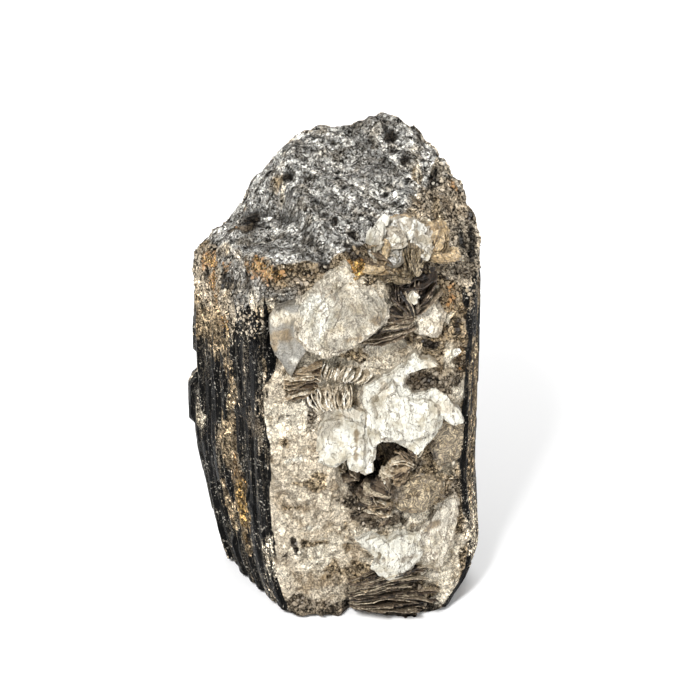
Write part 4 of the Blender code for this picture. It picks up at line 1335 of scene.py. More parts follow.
@dataclass(frozen=True)
class MicaFinish:
    """Sheets of mica: leaves that end in fine steps, with wrinkles and cracks, and painted shading and shadow
    lines at the steps.

    Attributes:
        name: The material's name.
        leaf: Distance in millimetres over which the leaves step.
        steps: How dark the painted shadow lines at the steps' edges are, from 0 to 1.
        mottle: How strongly its colour varies in small spots.
        roughness: How dull it is.
        relief: Depth of its relief in millimetres.
        strands: How plainly it is made of bent strands, from 0 to 1.
    """

    name: str
    leaf: float = 9.0
    steps: float = 0.75
    mottle: float = 0.08
    roughness: float = 0.42
    relief: float = 0.2
    strands: float = 0.06

    def make(self) -> Material:
        """Makes the material."""
        graph = Finish(self.name)
        place = graph.place
        inputs = {0: graph.bent(place, 3.0, 2.5), 1: (1.0, 1.0, 0.4)}
        upright = graph.add("ShaderNodeVectorMath", {"operation": "MULTIPLY"}, inputs)
        wrinkles = graph.clouds(upright, 2.0, 4.0, 0.65)
        fine = graph.clouds(place, 0.45, 4.0, 0.7)
        drift = graph.clouds(place, 4.0, 4.0, 0.6)
        # Painted shading of the leaves' steps: each leaf is darkest just past its step and lighter towards
        # the next.
        part = (graph.clouds(upright, self.leaf, 5.0, 0.55) * 12.0).fraction()
        edge = graph.grade(part, 0.04, 0.16, 1.0, 0.0) * graph.grade(drift, 0.3, 0.44)
        strands, plain = graph.strands(place, 5.0, 16.0), self.strands
        rims = graph.rims(graph.bent(upright, 1.5, 2.2), 2.6, 0.06) * graph.grade(wrinkles, 0.46, 0.54)
        cracks = graph.veins(upright, 5.0, 0.008, 6.0) * graph.grade(wrinkles, 0.44, 0.54)
        colour = graph.attribute("tone", "Color")
        low, high = 1 - 1.6 * self.mottle, 1 + 0.3 * self.mottle
        for layer in (
            graph.ramp(fine, (0.36, low), (0.54, high)),
            graph.ramp(wrinkles, (0.38, low), (0.5, 1.0)),
            graph.ramp(drift, (0.35, (0.7, 0.65, 0.56)), (0.52, 0.93)),
            graph.ramp(part, (0.0, 0.78), (0.35, 0.94), (1.0, 1.0)),
            graph.ramp(strands, (0.0, 1 - 0.75 * plain), (0.35, 1.0), (0.8, 1 + 0.5 * plain)),
            graph.ramp(graph.attribute("shade"), (0.0, (0.5, 0.42, 0.33)), (1.0, 1.0)),
        ):
            colour = graph.tint(colour, layer)
        colour = graph.punch(colour, 0.5, 1.65)
        # A painted shadow line along each leaf's step.
        colour = graph.blend(edge * self.steps, colour, (0.13, 0.108, 0.082, 1.0))
        colour = graph.blend(rims * self.steps * self.mottle * 5.0, colour, (0.16, 0.125, 0.09, 1.0))
        colour = graph.blend(cracks * self.steps, colour, (0.05, 0.04, 0.03, 1.0))
        relief = (1.0 - part) * 0.6 + wrinkles * 0.35 + fine * 0.12 - cracks * 0.3 + strands * (0.5 * plain)
        return graph.close(colour, self.roughness + (fine - 0.5) * 0.4, relief, self.relief)


@dataclass(frozen=True)
class EdgeFinish:
    """Leaves of mica seen end on, each with a tone of its own."""

    name: str
    dark: tuple[float, float, float]
    middle: tuple[float, float, float]
    pale: tuple[float, float, float]

    def make(self) -> Material:
        """Makes the material."""
        graph = Finish(self.name)
        place = graph.place
        fine = graph.clouds(place, 0.6, 4.0, 0.7)
        drift = graph.clouds(place, 3.0, 3.0, 0.6)
        folds = graph.cells(graph.bent(place, 1.0, 1.6), 1.1)
        lines = graph.veins(graph.bent(place, 1.2, 2.0), 1.5, 0.05)
        strands = graph.strands(place, 3.5, 11.0)
        level = graph.attribute("shade") * 0.75 + (drift - 0.5) * 0.5 + (fine - 0.5) * 0.4
        level = level + (folds - 0.5) * 0.35 + (strands - 0.4) * 0.4
        stops = ((0.1, self.dark), (0.36, self.middle), (0.58, self.middle), (0.85, self.pale))
        colour = graph.blend(lines * 0.5, graph.ramp(level, *stops), (*self.dark, 1.0))
        return graph.close(colour, 0.42, fine * 0.6 - lines * 0.6, 0.25)


class Sheet(Enum):
    """The finishes of sheets of mica."""

    SMOOTH = MicaFinish("mica_sheet", 8.0, 0.9, 0.1)
    FLAKY = MicaFinish("mica_flaky", 6.0, 0.85, 0.2, 0.45, 0.3, 0.25)
    CLEAR = MicaFinish("mica_clear", 9.0, 0.5, 0.14, 0.3, 0.3, 0.2)
    FILM = MicaFinish("mica_film", 5.0, 0.8, 0.2, 0.4, 0.5, 1.0)


class EdgeKind(Enum):
    """The finishes of leaves seen end on."""

    DARK = EdgeFinish("edges_dark", linear(20, 17, 14), linear(74, 60, 48), linear(176, 158, 132))
    BROWN = EdgeFinish("edges_brown", linear(34, 28, 23), linear(112, 96, 78), linear(200, 186, 160))
    TAN = EdgeFinish("edges_tan", linear(70, 56, 42), linear(160, 140, 112), linear(228, 218, 196))
    PALE = EdgeFinish("edges_pale", linear(140, 124, 100), linear(210, 197, 173), linear(242, 238, 226))


class Mica(Enum):
    """The kinds of mica on the specimen, each a tone and the finish of its sheets."""

    BEIGE = (Tone.BEIGE, Sheet.FLAKY)
    CREAM = (Tone.CREAM, Sheet.FLAKY)
    WHITE = (Tone.WHITE, Sheet.SMOOTH)
    PEARL = (Tone.PEARL, Sheet.SMOOTH)
    GREY = (Tone.BLADE, Sheet.CLEAR)
    BROWN = (Tone.KHAKI, Sheet.FILM)
    HONEY = (Tone.HONEY, Sheet.FLAKY)

    @property
    def tone(self) -> Array:
        """Its colour."""
        return np.array(self.value[0].value)

    @property
    def sheet(self) -> Sheet:
        """The finish of its sheets."""
        return self.value[1]


@dataclass
class Cabinet:
    """Hands out the finishes of mica, each made once."""

    made: dict[Enum, Material] = field(default_factory=dict)

    def finish(self, kind: Sheet | EdgeKind) -> Material:
        """Returns a finish."""
        if kind not in self.made:
            self.made[kind] = kind.value.make()
        return self.made[kind]


# ---- sheets


@dataclass(frozen=True)
class Plate:
    """A plate of mica lying on the front, cleaved into leaves.

    Attributes:
        name: The piece's name.
        mica: Its kind.
        outline: Its corners, as x and height.
        stand_off: From the front's relief to the face of its first leaves.
        lean_x: How far it recedes, beyond the front's own slope, for each millimetre along x.
        lean_z: The same for each millimetre upwards.
        thickness: How deep it reaches from that face.
        tiers: How many stacks of leaves lie one on another.
        tear: How far its edges wander from the outline.
    """

    name: str
    mica: Mica
    outline: tuple
    stand_off: float
    lean_x: float
    lean_z: float
    thickness: float
    tiers: int = 1
    tear: float = 0.8


@dataclass
class PlateMaker:
    """Builds plates of mica out of thin leaves with torn edges.

    Attributes:
        leaves: Leaves in each tier.
        leaf: Thickness of a leaf.
        gap: From the face of one leaf to the next.
        growth: How much larger each leaf is than the one over it, as a share.
        edge_step: Distance between the points along an edge.
        face_step: Distance between the points across the face of the uppermost leaf.
        hidden_step: The same for the leaves under it.
        tier_shrink: Size of each tier to the one under it.
        tier_shift: How far each tier's middle strays, as a share of the plate's width.
        tier_step: From the face of one tier to the next.
        wave: Height of the leaves' waves.
        lift: How far their edges curl up.
        curl: How far inwards that reaches.
        cabinet: Hands out the finishes.
    """

    specimen: Specimen
    leaves: int = 5
    leaf: float = 0.2
    gap: float = 0.28
    growth: float = 0.014
    edge_step: float = 0.4
    face_step: float = 0.65
    hidden_step: float = 3.0
    tier_shrink: float = 0.78
    tier_shift: float = 0.1
    tier_step: float = 0.7
    wave: float = 0.35
    lift: float = 0.4
    curl: float = 1.8
    cabinet: Cabinet = field(default_factory=Cabinet)

    def torn(self, outline: Array, seed: int, tear: float) -> Array:
        """Returns an outline broken into small steps.

        Args:
            outline: Its corners, in order.
            seed: Chooses the tears.
            tear: How far they reach.

        Returns:
            Many points along the torn edge.
        """
        rows = []
        for a, b in zip(outline, np.roll(outline, -1, axis=0)):
            run = b - a
            count = max(2, int(np.linalg.norm(run) / self.edge_step))
            rows.append(a + run * np.arange(count)[:, None] / count)
        points = np.concatenate(rows)
        run = np.roll(points, -1, axis=0) - np.roll(points, 1, axis=0)
        outward = np.column_stack([run[:, 1], -run[:, 0]]) / np.linalg.norm(run, axis=1)[:, None]
        along = np.arange(len(points)) * self.edge_step
        level = np.zeros(len(points))
        shift = Pattern.facets(along, level, 5.0, seed, 0.8) * 0.9
        shift += Pattern.facets(along, level, 1.7, seed + 5, 1.0) * 0.35
        return points + outward * (shift * tear)[:, None]

    def leaf_surface(
        self, outline: Array, spacing: float, seed: int, turn: float
    ) -> tuple[Array, Faces, Array]:
        """Returns a leaf's points, its faces and how far each point lifts off its plane."""
        flat, faces = flat_patch(outline, spacing)
        wave = self.wave * 2 * (Pattern.blots(flat[:, 0] + turn, flat[:, 1] / 1.7, 5.0, seed, 3) - 0.5)
        wave += 0.1 * Pattern.facets(flat[:, 0] + turn, flat[:, 1] / 2.0, 3.0, seed + 9, 1.0)
        rim = smooth(1.0 - edge_distance(flat, outline) / self.curl)
        risen = self.lift * rim * (2 * Pattern.blots(flat[:, 0], flat[:, 1], 5.0, seed + 3) - 0.7)
        return flat, faces, wave + risen

    def make(self, plate: Plate) -> Object:
        """Builds one plate.

        Args:
            plate: What it is.

        Returns:
            The piece.
        """
        corners = np.array(plate.outline)
        middle = corners.mean(axis=0)
        width = np.ptp(corners[:, 0])
        face_y = self.face_of_front(*middle) - plate.stand_off
        slope = self.specimen.front.slope + plate.lean_x
        dice = random.Random(plate.name)
        seed = dice.randrange(10000)
        points, faces, shades = [], [], []
        for tier in range(plate.tiers):
            shift = stray(dice) * self.tier_shift * width * tier
            tier_outline = (corners - middle) * self.tier_shrink**tier + shift
            for leaf in range(self.leaves):
                under = (self.leaves - 1 - leaf) * self.gap - tier * self.tier_step
                grown = 1.0 + self.growth * (self.leaves - 1 - leaf)
                outline = self.torn(tier_outline * grown, seed + 31 * leaf + 7 * tier, plate.tear)
                top_leaf = leaf == self.leaves - 1
                spacing = self.face_step if top_leaf else self.hidden_step
                flat, leaf_faces, lift = self.leaf_surface(outline, spacing, seed, tier)
                depth = self.leaf if leaf else max(self.leaf, plate.thickness - under - 0.2)
                self.add_slab(points, faces, flat, leaf_faces, lift - under, depth)
                shades += [dice.uniform(0.35, 1.0) if not top_leaf else 1.0] * (2 * len(flat))
        across, up, out = np.array(points).T
        back = face_y + slope * across + plate.lean_z * up - out
        placed = np.column_stack([across + middle[0], back, up + middle[1]])
        mesh = closed_mesh(plate.name, placed, faces)
        store(mesh, "shade", np.array(shades))
        base = np.tile(plate.mica.tone, (len(placed), 1))
        tone, _, _ = Colouring.painted(base, self.specimen.colouring.sheets, placed[:, 0], placed[:, 2])
        store(mesh, "tone", tone)
        return place_piece(plate.name, mesh, self.cabinet.finish(plate.mica.sheet))

    def face_of_front(self, x: float, z: float) -> float:
        """Returns y of the front at x and a height, on its relief."""
        prism = self.specimen.prism
        corners = prism.edges_at(np.array([z]))[0]
        right, left = corners[prism.front_face][0], corners[0][0]
        share = min(max((right - x) / (right - left), 0.02), 0.98)
        girth = prism.striated_girth + prism.face_lengths[prism.front_face] * share
        return float(self.specimen.side_points(np.array([girth]), np.array([z]))[0, 1])

    @staticmethod
    def add_slab(
        points: list, faces: list, flat: Array, leaf_faces: Faces, lift: Array, depth: float
    ) -> None:
        """Adds a closed leaf to lists of points and faces.

        Args:
            points: Rows of the plane's coordinates and the height over it, extended here.
            faces: Corner indices, extended here.
            flat: The leaf's points in its plane.
            leaf_faces: Its faces, counter-clockwise seen from outside.
            lift: Height of each point over the plane.
            depth: The leaf's thickness.
        """
        start, count = len(points), len(flat)
        points += np.column_stack([flat, lift]).tolist()
        points += np.column_stack([flat, lift - depth]).tolist()
        sides = {(a, b) for face in leaf_faces for a, b in zip(face, face[1:] + face[:1])}
        faces += [[start + k for k in face] for face in leaf_faces]
        faces += [[start + count + k for k in reversed(face)] for face in leaf_faces]
        rim = [(start + a, start + b) for a, b in sorted(sides) if (b, a) not in sides]
        faces += [[b, a, count + a, count + b] for a, b in rim]


PLATES = (
    Plate("sheet_upper", Mica.BEIGE, (
        (-8.4, 98), (-5.4, 100.6), (-2.2, 103), (0.3, 105.2), (2.3, 106.2), (4.5, 104), (7, 101.4),
        (10.2, 99.3), (12.4, 95.3), (12.5, 91.5), (9.5, 89.1), (6, 86.8), (1.5, 84.6), (-2, 84.1),
        (-6, 86.1), (-8.5, 88.8), (-8.6, 93.6),
    ), 1.4, 0.02, 0.16, 3, 2),
    Plate("blade_grey", Mica.GREY, (
        (-15.9, 92.8), (-14.5, 95.3), (-11.3, 97), (-8.6, 97), (-8, 92), (-7.6, 88.5), (-6.6, 86.6),
        (-7.3, 84.2), (-9, 81), (-10.9, 77.2), (-12, 78.5), (-12.9, 80.8), (-14.6, 83.1), (-15.9, 86.3),
    ), 2.4, -0.2, 0, 2.8, 1, 0.2),
    Plate("sheet_large", Mica.WHITE, (
        (8, 73.4), (12.2, 75), (15.8, 76.6), (18.6, 79), (20.4, 80.4), (22, 78.9), (24, 79.2), (26.1, 77.6),
        (22, 77.2), (18.9, 76.2), (17.8, 73.3), (19.9, 70.3), (23.3, 70), (25.9, 71), (28.4, 69),
        (31, 65.2), (33, 61.6), (30.5, 61.4), (27.4, 63.8), (27.2, 60.6), (24.5, 57), (21.4, 54),
        (19.9, 55.5), (16.8, 57.4), (13, 58.4), (10.4, 57.4), (9, 60), (8.8, 66), (7.5, 70),
    ), 1.8, 0.04, 0.14, 3.2, 1, 0.5),
    Plate("sheet_large_face", Mica.WHITE, (
        (10.6, 70), (15, 74.5), (16.4, 70), (24, 68), (26.6, 66), (25.4, 60.5), (20, 58.6), (12.5, 59.8),
    ), 2.7, 0.04, 0.14, 2.4),
    Plate("sheet_tail", Mica.WHITE, (
        (-2, 66), (2.7, 66.9), (6.1, 65.2), (9.7, 63.1), (10.3, 57), (9.7, 47.5), (7.9, 46.9), (5.8, 48.1),
        (4.8, 52.4), (2.7, 51.2), (0.3, 48.8), (-2.3, 50), (-4.4, 50.6), (-4.8, 54), (-4.5, 60),
    ), 2, -0.1, 0.06, 2.8, 2, 0.5),
    Plate("lobe_brown", Mica.BROWN, (
        (15.6, 41), (16, 37.5), (19, 35.5), (24, 35.5), (28, 39), (28, 43), (23.5, 44.5), (19, 44),
    ), 2, -0.06, 0.1, 2.8, 3),
    Plate("sheet_low", Mica.WHITE, (
        (6.2, 27.2), (9.4, 28.4), (13.5, 25.5), (17.5, 27.8), (22, 27.2), (23, 21), (20, 16), (17.5, 13.2),
        (13.5, 13.9), (10, 17.9), (11, 21.2), (8.3, 24.5),
    ), 1.8, 0, -0.04, 2.6, 2, 0.6),
    Plate("sheet_low_right", Mica.CREAM, (
        (19.5, 25), (25.6, 30.4), (28.3, 34.2), (32, 35.5), (33.2, 32.9), (32.2, 25.5), (31, 19.9),
        (28.3, 13.2), (24.3, 15.6), (21, 18),
    ), 1.4, 0.12, 0.1, 2.4, 2),
    Plate("patch_middle", Mica.CREAM, (
        (4, 79.5), (9, 83), (16, 83.5), (19, 80), (13, 76.5), (7, 76.5),
    ), 0.9, 0.1, 0.2, 2.2),
    Plate("chip_right", Mica.CREAM, (
        (21, 93), (24, 96), (27.5, 91), (26, 85), (22, 86),
    ), 1.2, -0.1, 0.1, 2),
    Plate("patch_right", Mica.BROWN, (
        (27, 60), (31, 61.5), (33.5, 57), (33, 48), (28, 46), (25.5, 53),
    ), 1, 0.16, 0, 2, 2),
)


# ---- books


@dataclass(frozen=True)
class Book:
    """A book of mica leaves whose edges show at the front, fanned about one end.

    Attributes:
        name: The piece's name.
        kind: Its colours.
        x: Where the leaves meet.
        height: The same, upwards.
        stand_off: How far the leaves' edges stand before the front's relief.
        heading: The way the middle leaf runs from there, in degrees above +x.
        length: Length of the leaves.
        depth: How deep they reach into the specimen.
        leaves: How many there are.
        gap: Distance from one leaf to the next where they meet.
        fan: Angle between neighbouring leaves, in degrees.
        pitch: How far the leaves' planes tip towards the front, in degrees.
        unrest: Greatest angle by which a leaf strays from its place in the fan, in degrees.
        bow: How far a leaf bows out of its plane.
        leaf: Thickness of a leaf.
    """

    name: str
    kind: EdgeKind
    x: float
    height: float
    stand_off: float
    heading: float
    length: float
    depth: float
    leaves: int
    gap: float
    fan: float
    pitch: float = 0.0
    unrest: float = 3.0
    bow: float = 0.5
    leaf: float = 0.28


class Repeater(Graph):
    """A Geometry Nodes tree that repeats shapes from a collection at points, each with a shade of its own.

    Attributes:
        given: The tree's inputs, by name.
    """

    def __init__(self, name: str, numbers: dict[str, str]) -> None:
        """Makes the tree's inputs and output.

        Args:
            name: The tree's name.
            numbers: The kind of each input beside the geometry, the shapes and the material, by name.
        """
        super().__init__(bpy.data.node_groups.new(name, "GeometryNodeTree"))
        kinds = {"Geometry": "Geometry", "Shapes": "Collection", "Material": "Material", **numbers}
        for label, kind in kinds.items():
            self.tree.interface.new_socket(label, in_out="INPUT", socket_type=f"NodeSocket{kind}")
        self.tree.interface.new_socket("Geometry", in_out="OUTPUT", socket_type="NodeSocketGeometry")
        entry = self.tree.nodes.new("NodeGroupInput")
        self.given = {socket.name: Value(self, socket) for socket in entry.outputs if socket.name}

    def random(self, low: Value | float, high: Value | float, seed: int) -> Value:
        """Returns a random number for each point."""
        inputs = {2: low, 3: high, "Seed": seed}
        return self.add("FunctionNodeRandomValue", {"data_type": "FLOAT"}, inputs, 1)

    def random_vector(self, low: object, high: object, seed: int) -> Value:
        """Returns a random vector for each point."""
        inputs = {0: low, 1: high, "Seed": seed}
        return self.add("FunctionNodeRandomValue", {"data_type": "FLOAT_VECTOR"}, inputs)

    def repeat(self, points: Value, rotation: Value, size: Value, last: int, seeds: tuple[int, int]) -> None:
        """Repeats the shapes at points and ends the tree.

        Args:
            points: The points.
            rotation: How the shape at each point is turned.
            size: How it is scaled.
            last: The number of the last shape.
            seeds: The seed that chooses the shapes, and the seed of their shades.
        """
        inputs = {"Collection": self.given["Shapes"], "Separate Children": True, "Reset Children": True}
        shapes = self.add("GeometryNodeCollectionInfo", None, inputs)
        inputs = {4: 0, 5: last, "Seed": seeds[0]}
        pick = self.add("FunctionNodeRandomValue", {"data_type": "INT"}, inputs, 2)
        inputs = {"Points": points, "Instance": shapes, "Pick Instance": True, "Instance Index": pick}
        inputs |= {"Rotation": rotation, "Scale": size}
        placed = self.add("GeometryNodeInstanceOnPoints", None, inputs)
        settings = {"data_type": "FLOAT", "domain": "INSTANCE"}
        inputs = {"Geometry": placed, "Name": "shade", "Value": self.random(0.0, 1.0, seeds[1])}
        stored = self.add("GeometryNodeStoreNamedAttribute", settings, inputs)
        real = self.add("GeometryNodeRealizeInstances", None, {"Geometry": stored})
        inputs = {"Geometry": real, "Material": self.given["Material"]}
        dressed = self.add("GeometryNodeSetMaterial", None, inputs)
        self.add("NodeGroupOutput", None, {"Geometry": dressed})

    def run(self, ground: Mesh, settings: dict[str, object]) -> Mesh:
        """Runs the tree and keeps what it makes as a plain mesh.

        Args:
            ground: The mesh that it works on.
            settings: A value for each input, by name. The collection of shapes is removed.

        Returns:
            The mesh.
        """
        carrier = bpy.data.objects.new(f"{self.tree.name}_carrier", ground)
        bpy.context.scene.collection.objects.link(carrier)
        modifier = carrier.modifiers.new(self.tree.name, "NODES")
        modifier.node_group = self.tree
        for item in self.tree.interface.items_tree:
            if item.in_out == "INPUT" and item.name in settings:
                modifier[item.identifier] = settings[item.name]
        mesh = bpy.data.meshes.new_from_object(carrier.evaluated_get(bpy.context.evaluated_depsgraph_get()))
        mesh.name = self.tree.name
        for spent in (carrier, *settings["Shapes"].objects):
            bpy.data.objects.remove(spent)
        bpy.data.collections.remove(settings["Shapes"])
        return mesh


@dataclass
class BookBinder:
    """Builds books of mica by repeating a few torn leaves along a line.

    Attributes:
        maker: Knows the front and the finishes.
        kinds: How many torn leaves there are to choose from.
    """

    maker: PlateMaker
    kinds: int = 5

    def leaf_shapes(self, book: Book) -> Collection:
        """Returns a collection of torn leaves that start at the origin and run along +x."""
        shapes = bpy.data.collections.new(f"{book.name}_leaves")
        for kind in range(self.kinds):
            dice = random.Random(f"{book.name}{kind}")
            seed = dice.randrange(10000)
            long, deep = book.length * dice.uniform(0.75, 1.05), book.depth / 2
            corners = np.array(
                [
                    (0.0, -deep * 0.5), (long * 0.3, -deep * dice.uniform(0.8, 1.0)),
                    (long * 0.75, -deep * dice.uniform(0.7, 1.0)), (long, -deep * dice.uniform(0.1, 0.7)),
                    (long * dice.uniform(0.85, 1.0), deep), (0.0, deep),
                ]
            )
            outline = self.maker.torn(corners, seed, 0.5)
            flat, faces = flat_patch(outline, 1.4)
            lift = book.bow * np.sin(flat[:, 0] / book.length * math.pi + seed)
            lift += 0.5 * (Pattern.blots(flat[:, 0], flat[:, 1], 2.6, seed, 2) - 0.5)
            points, sides = [], []
            PlateMaker.add_slab(points, sides, flat, faces, lift, book.leaf)
            mesh = bpy.data.meshes.new(f"{book.name}_{kind}")
            mesh.from_pydata((np.array(points) * MM).tolist(), [], sides)
            shapes.objects.link(bpy.data.objects.new(f"{book.name}_{kind}", mesh))
        return shapes

    def tree(self, book: Book) -> Repeater:
        """Returns the node tree that stacks the leaves."""
        numbers = {"Leaves": "Int", "Gap": "Float", "Fan": "Float", "Unrest": "Float"}
        graph = Repeater(book.name, numbers)
        leaves, gap, fan, unrest = (graph.given[name] for name in numbers)
        middle = (leaves - 1.0) * 0.5
        settings = {"mode": "OFFSET", "count_mode": "TOTAL"}
        start = graph.vector(z=middle * gap * -1.0)
        inputs = {"Count": leaves, "Start Location": start, "Offset": graph.vector(z=gap)}
        line = graph.add("GeometryNodeMeshLine", settings, inputs)
        seed = random.Random(book.name).randrange(1000)
        sway = [graph.random(unrest * -1.0, unrest, seed + k) for k in range(3)]
        turn = (graph.add("GeometryNodeInputIndex") - middle) * fan * -1.0 + sway[0]
        euler = graph.vector(sway[1] * 2.0, turn, sway[2])
        rotation = graph.add("FunctionNodeEulerToRotation", None, {"Euler": euler})
        size = graph.random_vector((0.7, 0.85, 0.7), (1.1, 1.05, 1.6), seed + 5)
        graph.repeat(line, rotation, size, self.kinds - 1, (seed + 7, seed + 9))
        return graph

    def bind(self, book: Book) -> Object:
        """Builds one book.

        Args:
            book: What it is.

        Returns:
            The piece.
        """
        material = self.maker.cabinet.finish(book.kind)
        settings = {
            "Shapes": self.leaf_shapes(book),
            "Material": material,
            "Leaves": book.leaves,
            "Gap": book.gap * MM,
            "Fan": math.radians(book.fan),
            "Unrest": math.radians(book.unrest),
        }
        mesh = self.tree(book).run(bpy.data.meshes.new(f"{book.name}_start"), settings)
        heading = Matrix.Rotation(math.radians(-book.heading), 4, "Y")
        face_y = self.maker.face_of_front(book.x, book.height)
        base = Vector((book.x, face_y + book.depth / 2 - book.stand_off, book.height)) + Vector(AXIS_PLACE)
        pitch = Matrix.Rotation(math.radians(book.pitch), 4, "X")
        mesh.transform(Matrix.Translation(base * MM) @ pitch @ heading)
        return place_piece(book.name, mesh, material)


BOOKS = (
    Book("rosette_low", EdgeKind.BROWN, 20, 89.5, 3, 187, 17, 7, 15, 0.3, 2, 8),
    Book("rosette_left", EdgeKind.BROWN, 19.5, 90.5, 2.6, 124, 11, 7, 16, 0.28, 4.5, 0),
    Book("rosette_right", EdgeKind.DARK, 18.5, 92, 2, 68, 9.5, 6, 14, 0.28, 5, 0),
    Book("lip_left", EdgeKind.TAN, 15, 101, 3, 163, 12.5, 6, 14, 0.3, 2, 12, 5, 1),
    Book("lip_dark", EdgeKind.DARK, 16, 99.5, 3, 20, 9, 6, 10, 0.4, 5, 8, 8, 1),
    Book("leaves_under_blade", EdgeKind.TAN, -4.5, 74, 2, 170, 9.5, 5, 17, 0.42, 1.2, 8, 6, 1.4),
    Book("comb", EdgeKind.PALE, -0.6, 66, 2.4, 96, 7.5, 5, 30, 0.3, 0.8, 0, 3, 0.8),
    Book("comb_crest", EdgeKind.PALE, 2.4, 74, 3.2, 78, 4.6, 5, 30, 0.36, 1, 0, 3, 0.6),
    Book("hollow_fan", EdgeKind.TAN, 20.5, 49, 2.4, 160, 6.5, 3.6, 20, 0.36, 6, 0, 14, 1),
    Book("hollow_flakes", EdgeKind.PALE, 16, 43, 2.2, 165, 5, 3.4, 16, 0.36, 7, 10, 16, 1),
    Book("hollow_low", EdgeKind.BROWN, 13, 36, 2.2, 150, 7, 3.6, 20, 0.42, 4, 12, 14, 1),
    Book("hollow_base", EdgeKind.TAN, 15, 33, 2.2, 182, 8, 3.6, 14, 0.36, 3, 12, 14, 1),
    Book("hollow_left", EdgeKind.BROWN, 5, 40, 1.6, 150, 4.5, 3.6, 12, 0.4, 6, 0, 14, 0.8),
    Book("tan_fan", EdgeKind.PALE, 1.5, 44, 1.6, 128, 5, 4, 12, 0.24, 6, 0),
    Book("foot_edges", EdgeKind.BROWN, 4, 9.6, 2.6, 5, 21, 5, 30, 0.24, 0.8, -16, 2, 1, 0.16),
    Book("foot_edges_low", EdgeKind.DARK, 4, 4.8, 2.8, -4, 23, 6, 26, 0.2, 0.4, -12, 2, 0.5, 0.16),
)


@dataclass(frozen=True)
class Cup:
    """Curved leaves of mica, one within another.

    Attributes:
        name: The piece's name.
        mica: Its kind.
        middle: Where the first leaf's middle is.
        facing: The way the leaves face.
        half: Half the first leaf's width and height.
        bend: How far its sides, and its ends, curve towards the way it faces.
        leaves: How many leaves there are.
        step: From one leaf to the next.
        shrink: Size of a leaf to the one before.
        shift: How far each leaf's middle strays, at most.
        rays: How strongly it is creased outwards from its lower end, with painted shading lighter on the
            creases' crests and darker in their valleys.
        corners: How many corners its outline has before it is torn.
    """

    name: str
    mica: Mica
    middle: tuple[float, float, float]
    facing: tuple[float, float, float]
    half: tuple[float, float]
    bend: tuple[float, float]
    leaves: int
    step: float
    shrink: float
    shift: float = 0.5
    rays: float = 0.6
    corners: int = 11

    def build(self, maker: PlateMaker) -> Object:
        """Builds the leaves as one piece.

        Args:
            maker: Tears the leaves' edges and hands out their finish.

        Returns:
            The piece.
        """
        dice = random.Random(self.name)
        seed = dice.randrange(10000)
        points, faces, shades, crease_shading = [], [], [], []
        for leaf in range(self.leaves):
            size = self.shrink**leaf
            ring = []
            for turn in (2 * math.pi * k / self.corners for k in range(self.corners)):
                across = self.half[0] * size * math.cos(turn) * dice.uniform(0.85, 1.0)
                ring.append((across, self.half[1] * size * math.sin(turn) * dice.uniform(0.85, 1.0)))
            flat, leaf_faces = flat_patch(maker.torn(np.array(ring), seed + 13 * leaf, 0.8), 0.6)
            x, y = flat.T
            lift = self.bend[0] * (x / self.half[0]) ** 2 + self.bend[1] * (y / self.half[1]) ** 2
            lift += 0.9 * (Pattern.blots(x, y, 4.0, seed + leaf, 3) - 0.5) + self.step * leaf
            turn = np.arctan2(x, y + self.half[1] * 1.1)
            reach = np.hypot(x, y + self.half[1] * 1.1)
            crease = Pattern.blots(turn * 12.0, reach / 6.0, 1.0, seed + leaf, 3)
            lift += self.rays * 1.4 * (crease - 0.5)
            # Painted shading of the creases: lighter on their crests, darker in their valleys.
            crease_shading.append(np.tile(0.55 + 0.75 * crease, 2))
            flat = flat + stray(dice) * self.shift * min(leaf, 2)
            maker.add_slab(points, faces, flat, leaf_faces, lift, maker.leaf)
            shades += [dice.uniform(0.25, 1.0) if leaf < self.leaves - 1 else 1.0] * (2 * len(flat))
        turned = Vector(self.facing).to_track_quat("Z", "Y").to_matrix().to_4x4()
        placing = Matrix.Translation(self.middle) @ turned
        mesh = closed_mesh(self.name, [tuple(placing @ Vector(point)) for point in points], faces)
        store(mesh, "shade", np.array(shades))
        drift = Pattern.blots(np.array(points)[:, 0], np.array(points)[:, 1], 3.0, seed)
        level = (0.84 + 0.42 * drift) * (1 + self.rays * (np.concatenate(crease_shading) - 1))
        store(mesh, "tone", np.outer(level, self.mica.tone))
        return place_piece(self.name, mesh, maker.cabinet.finish(self.mica.sheet))


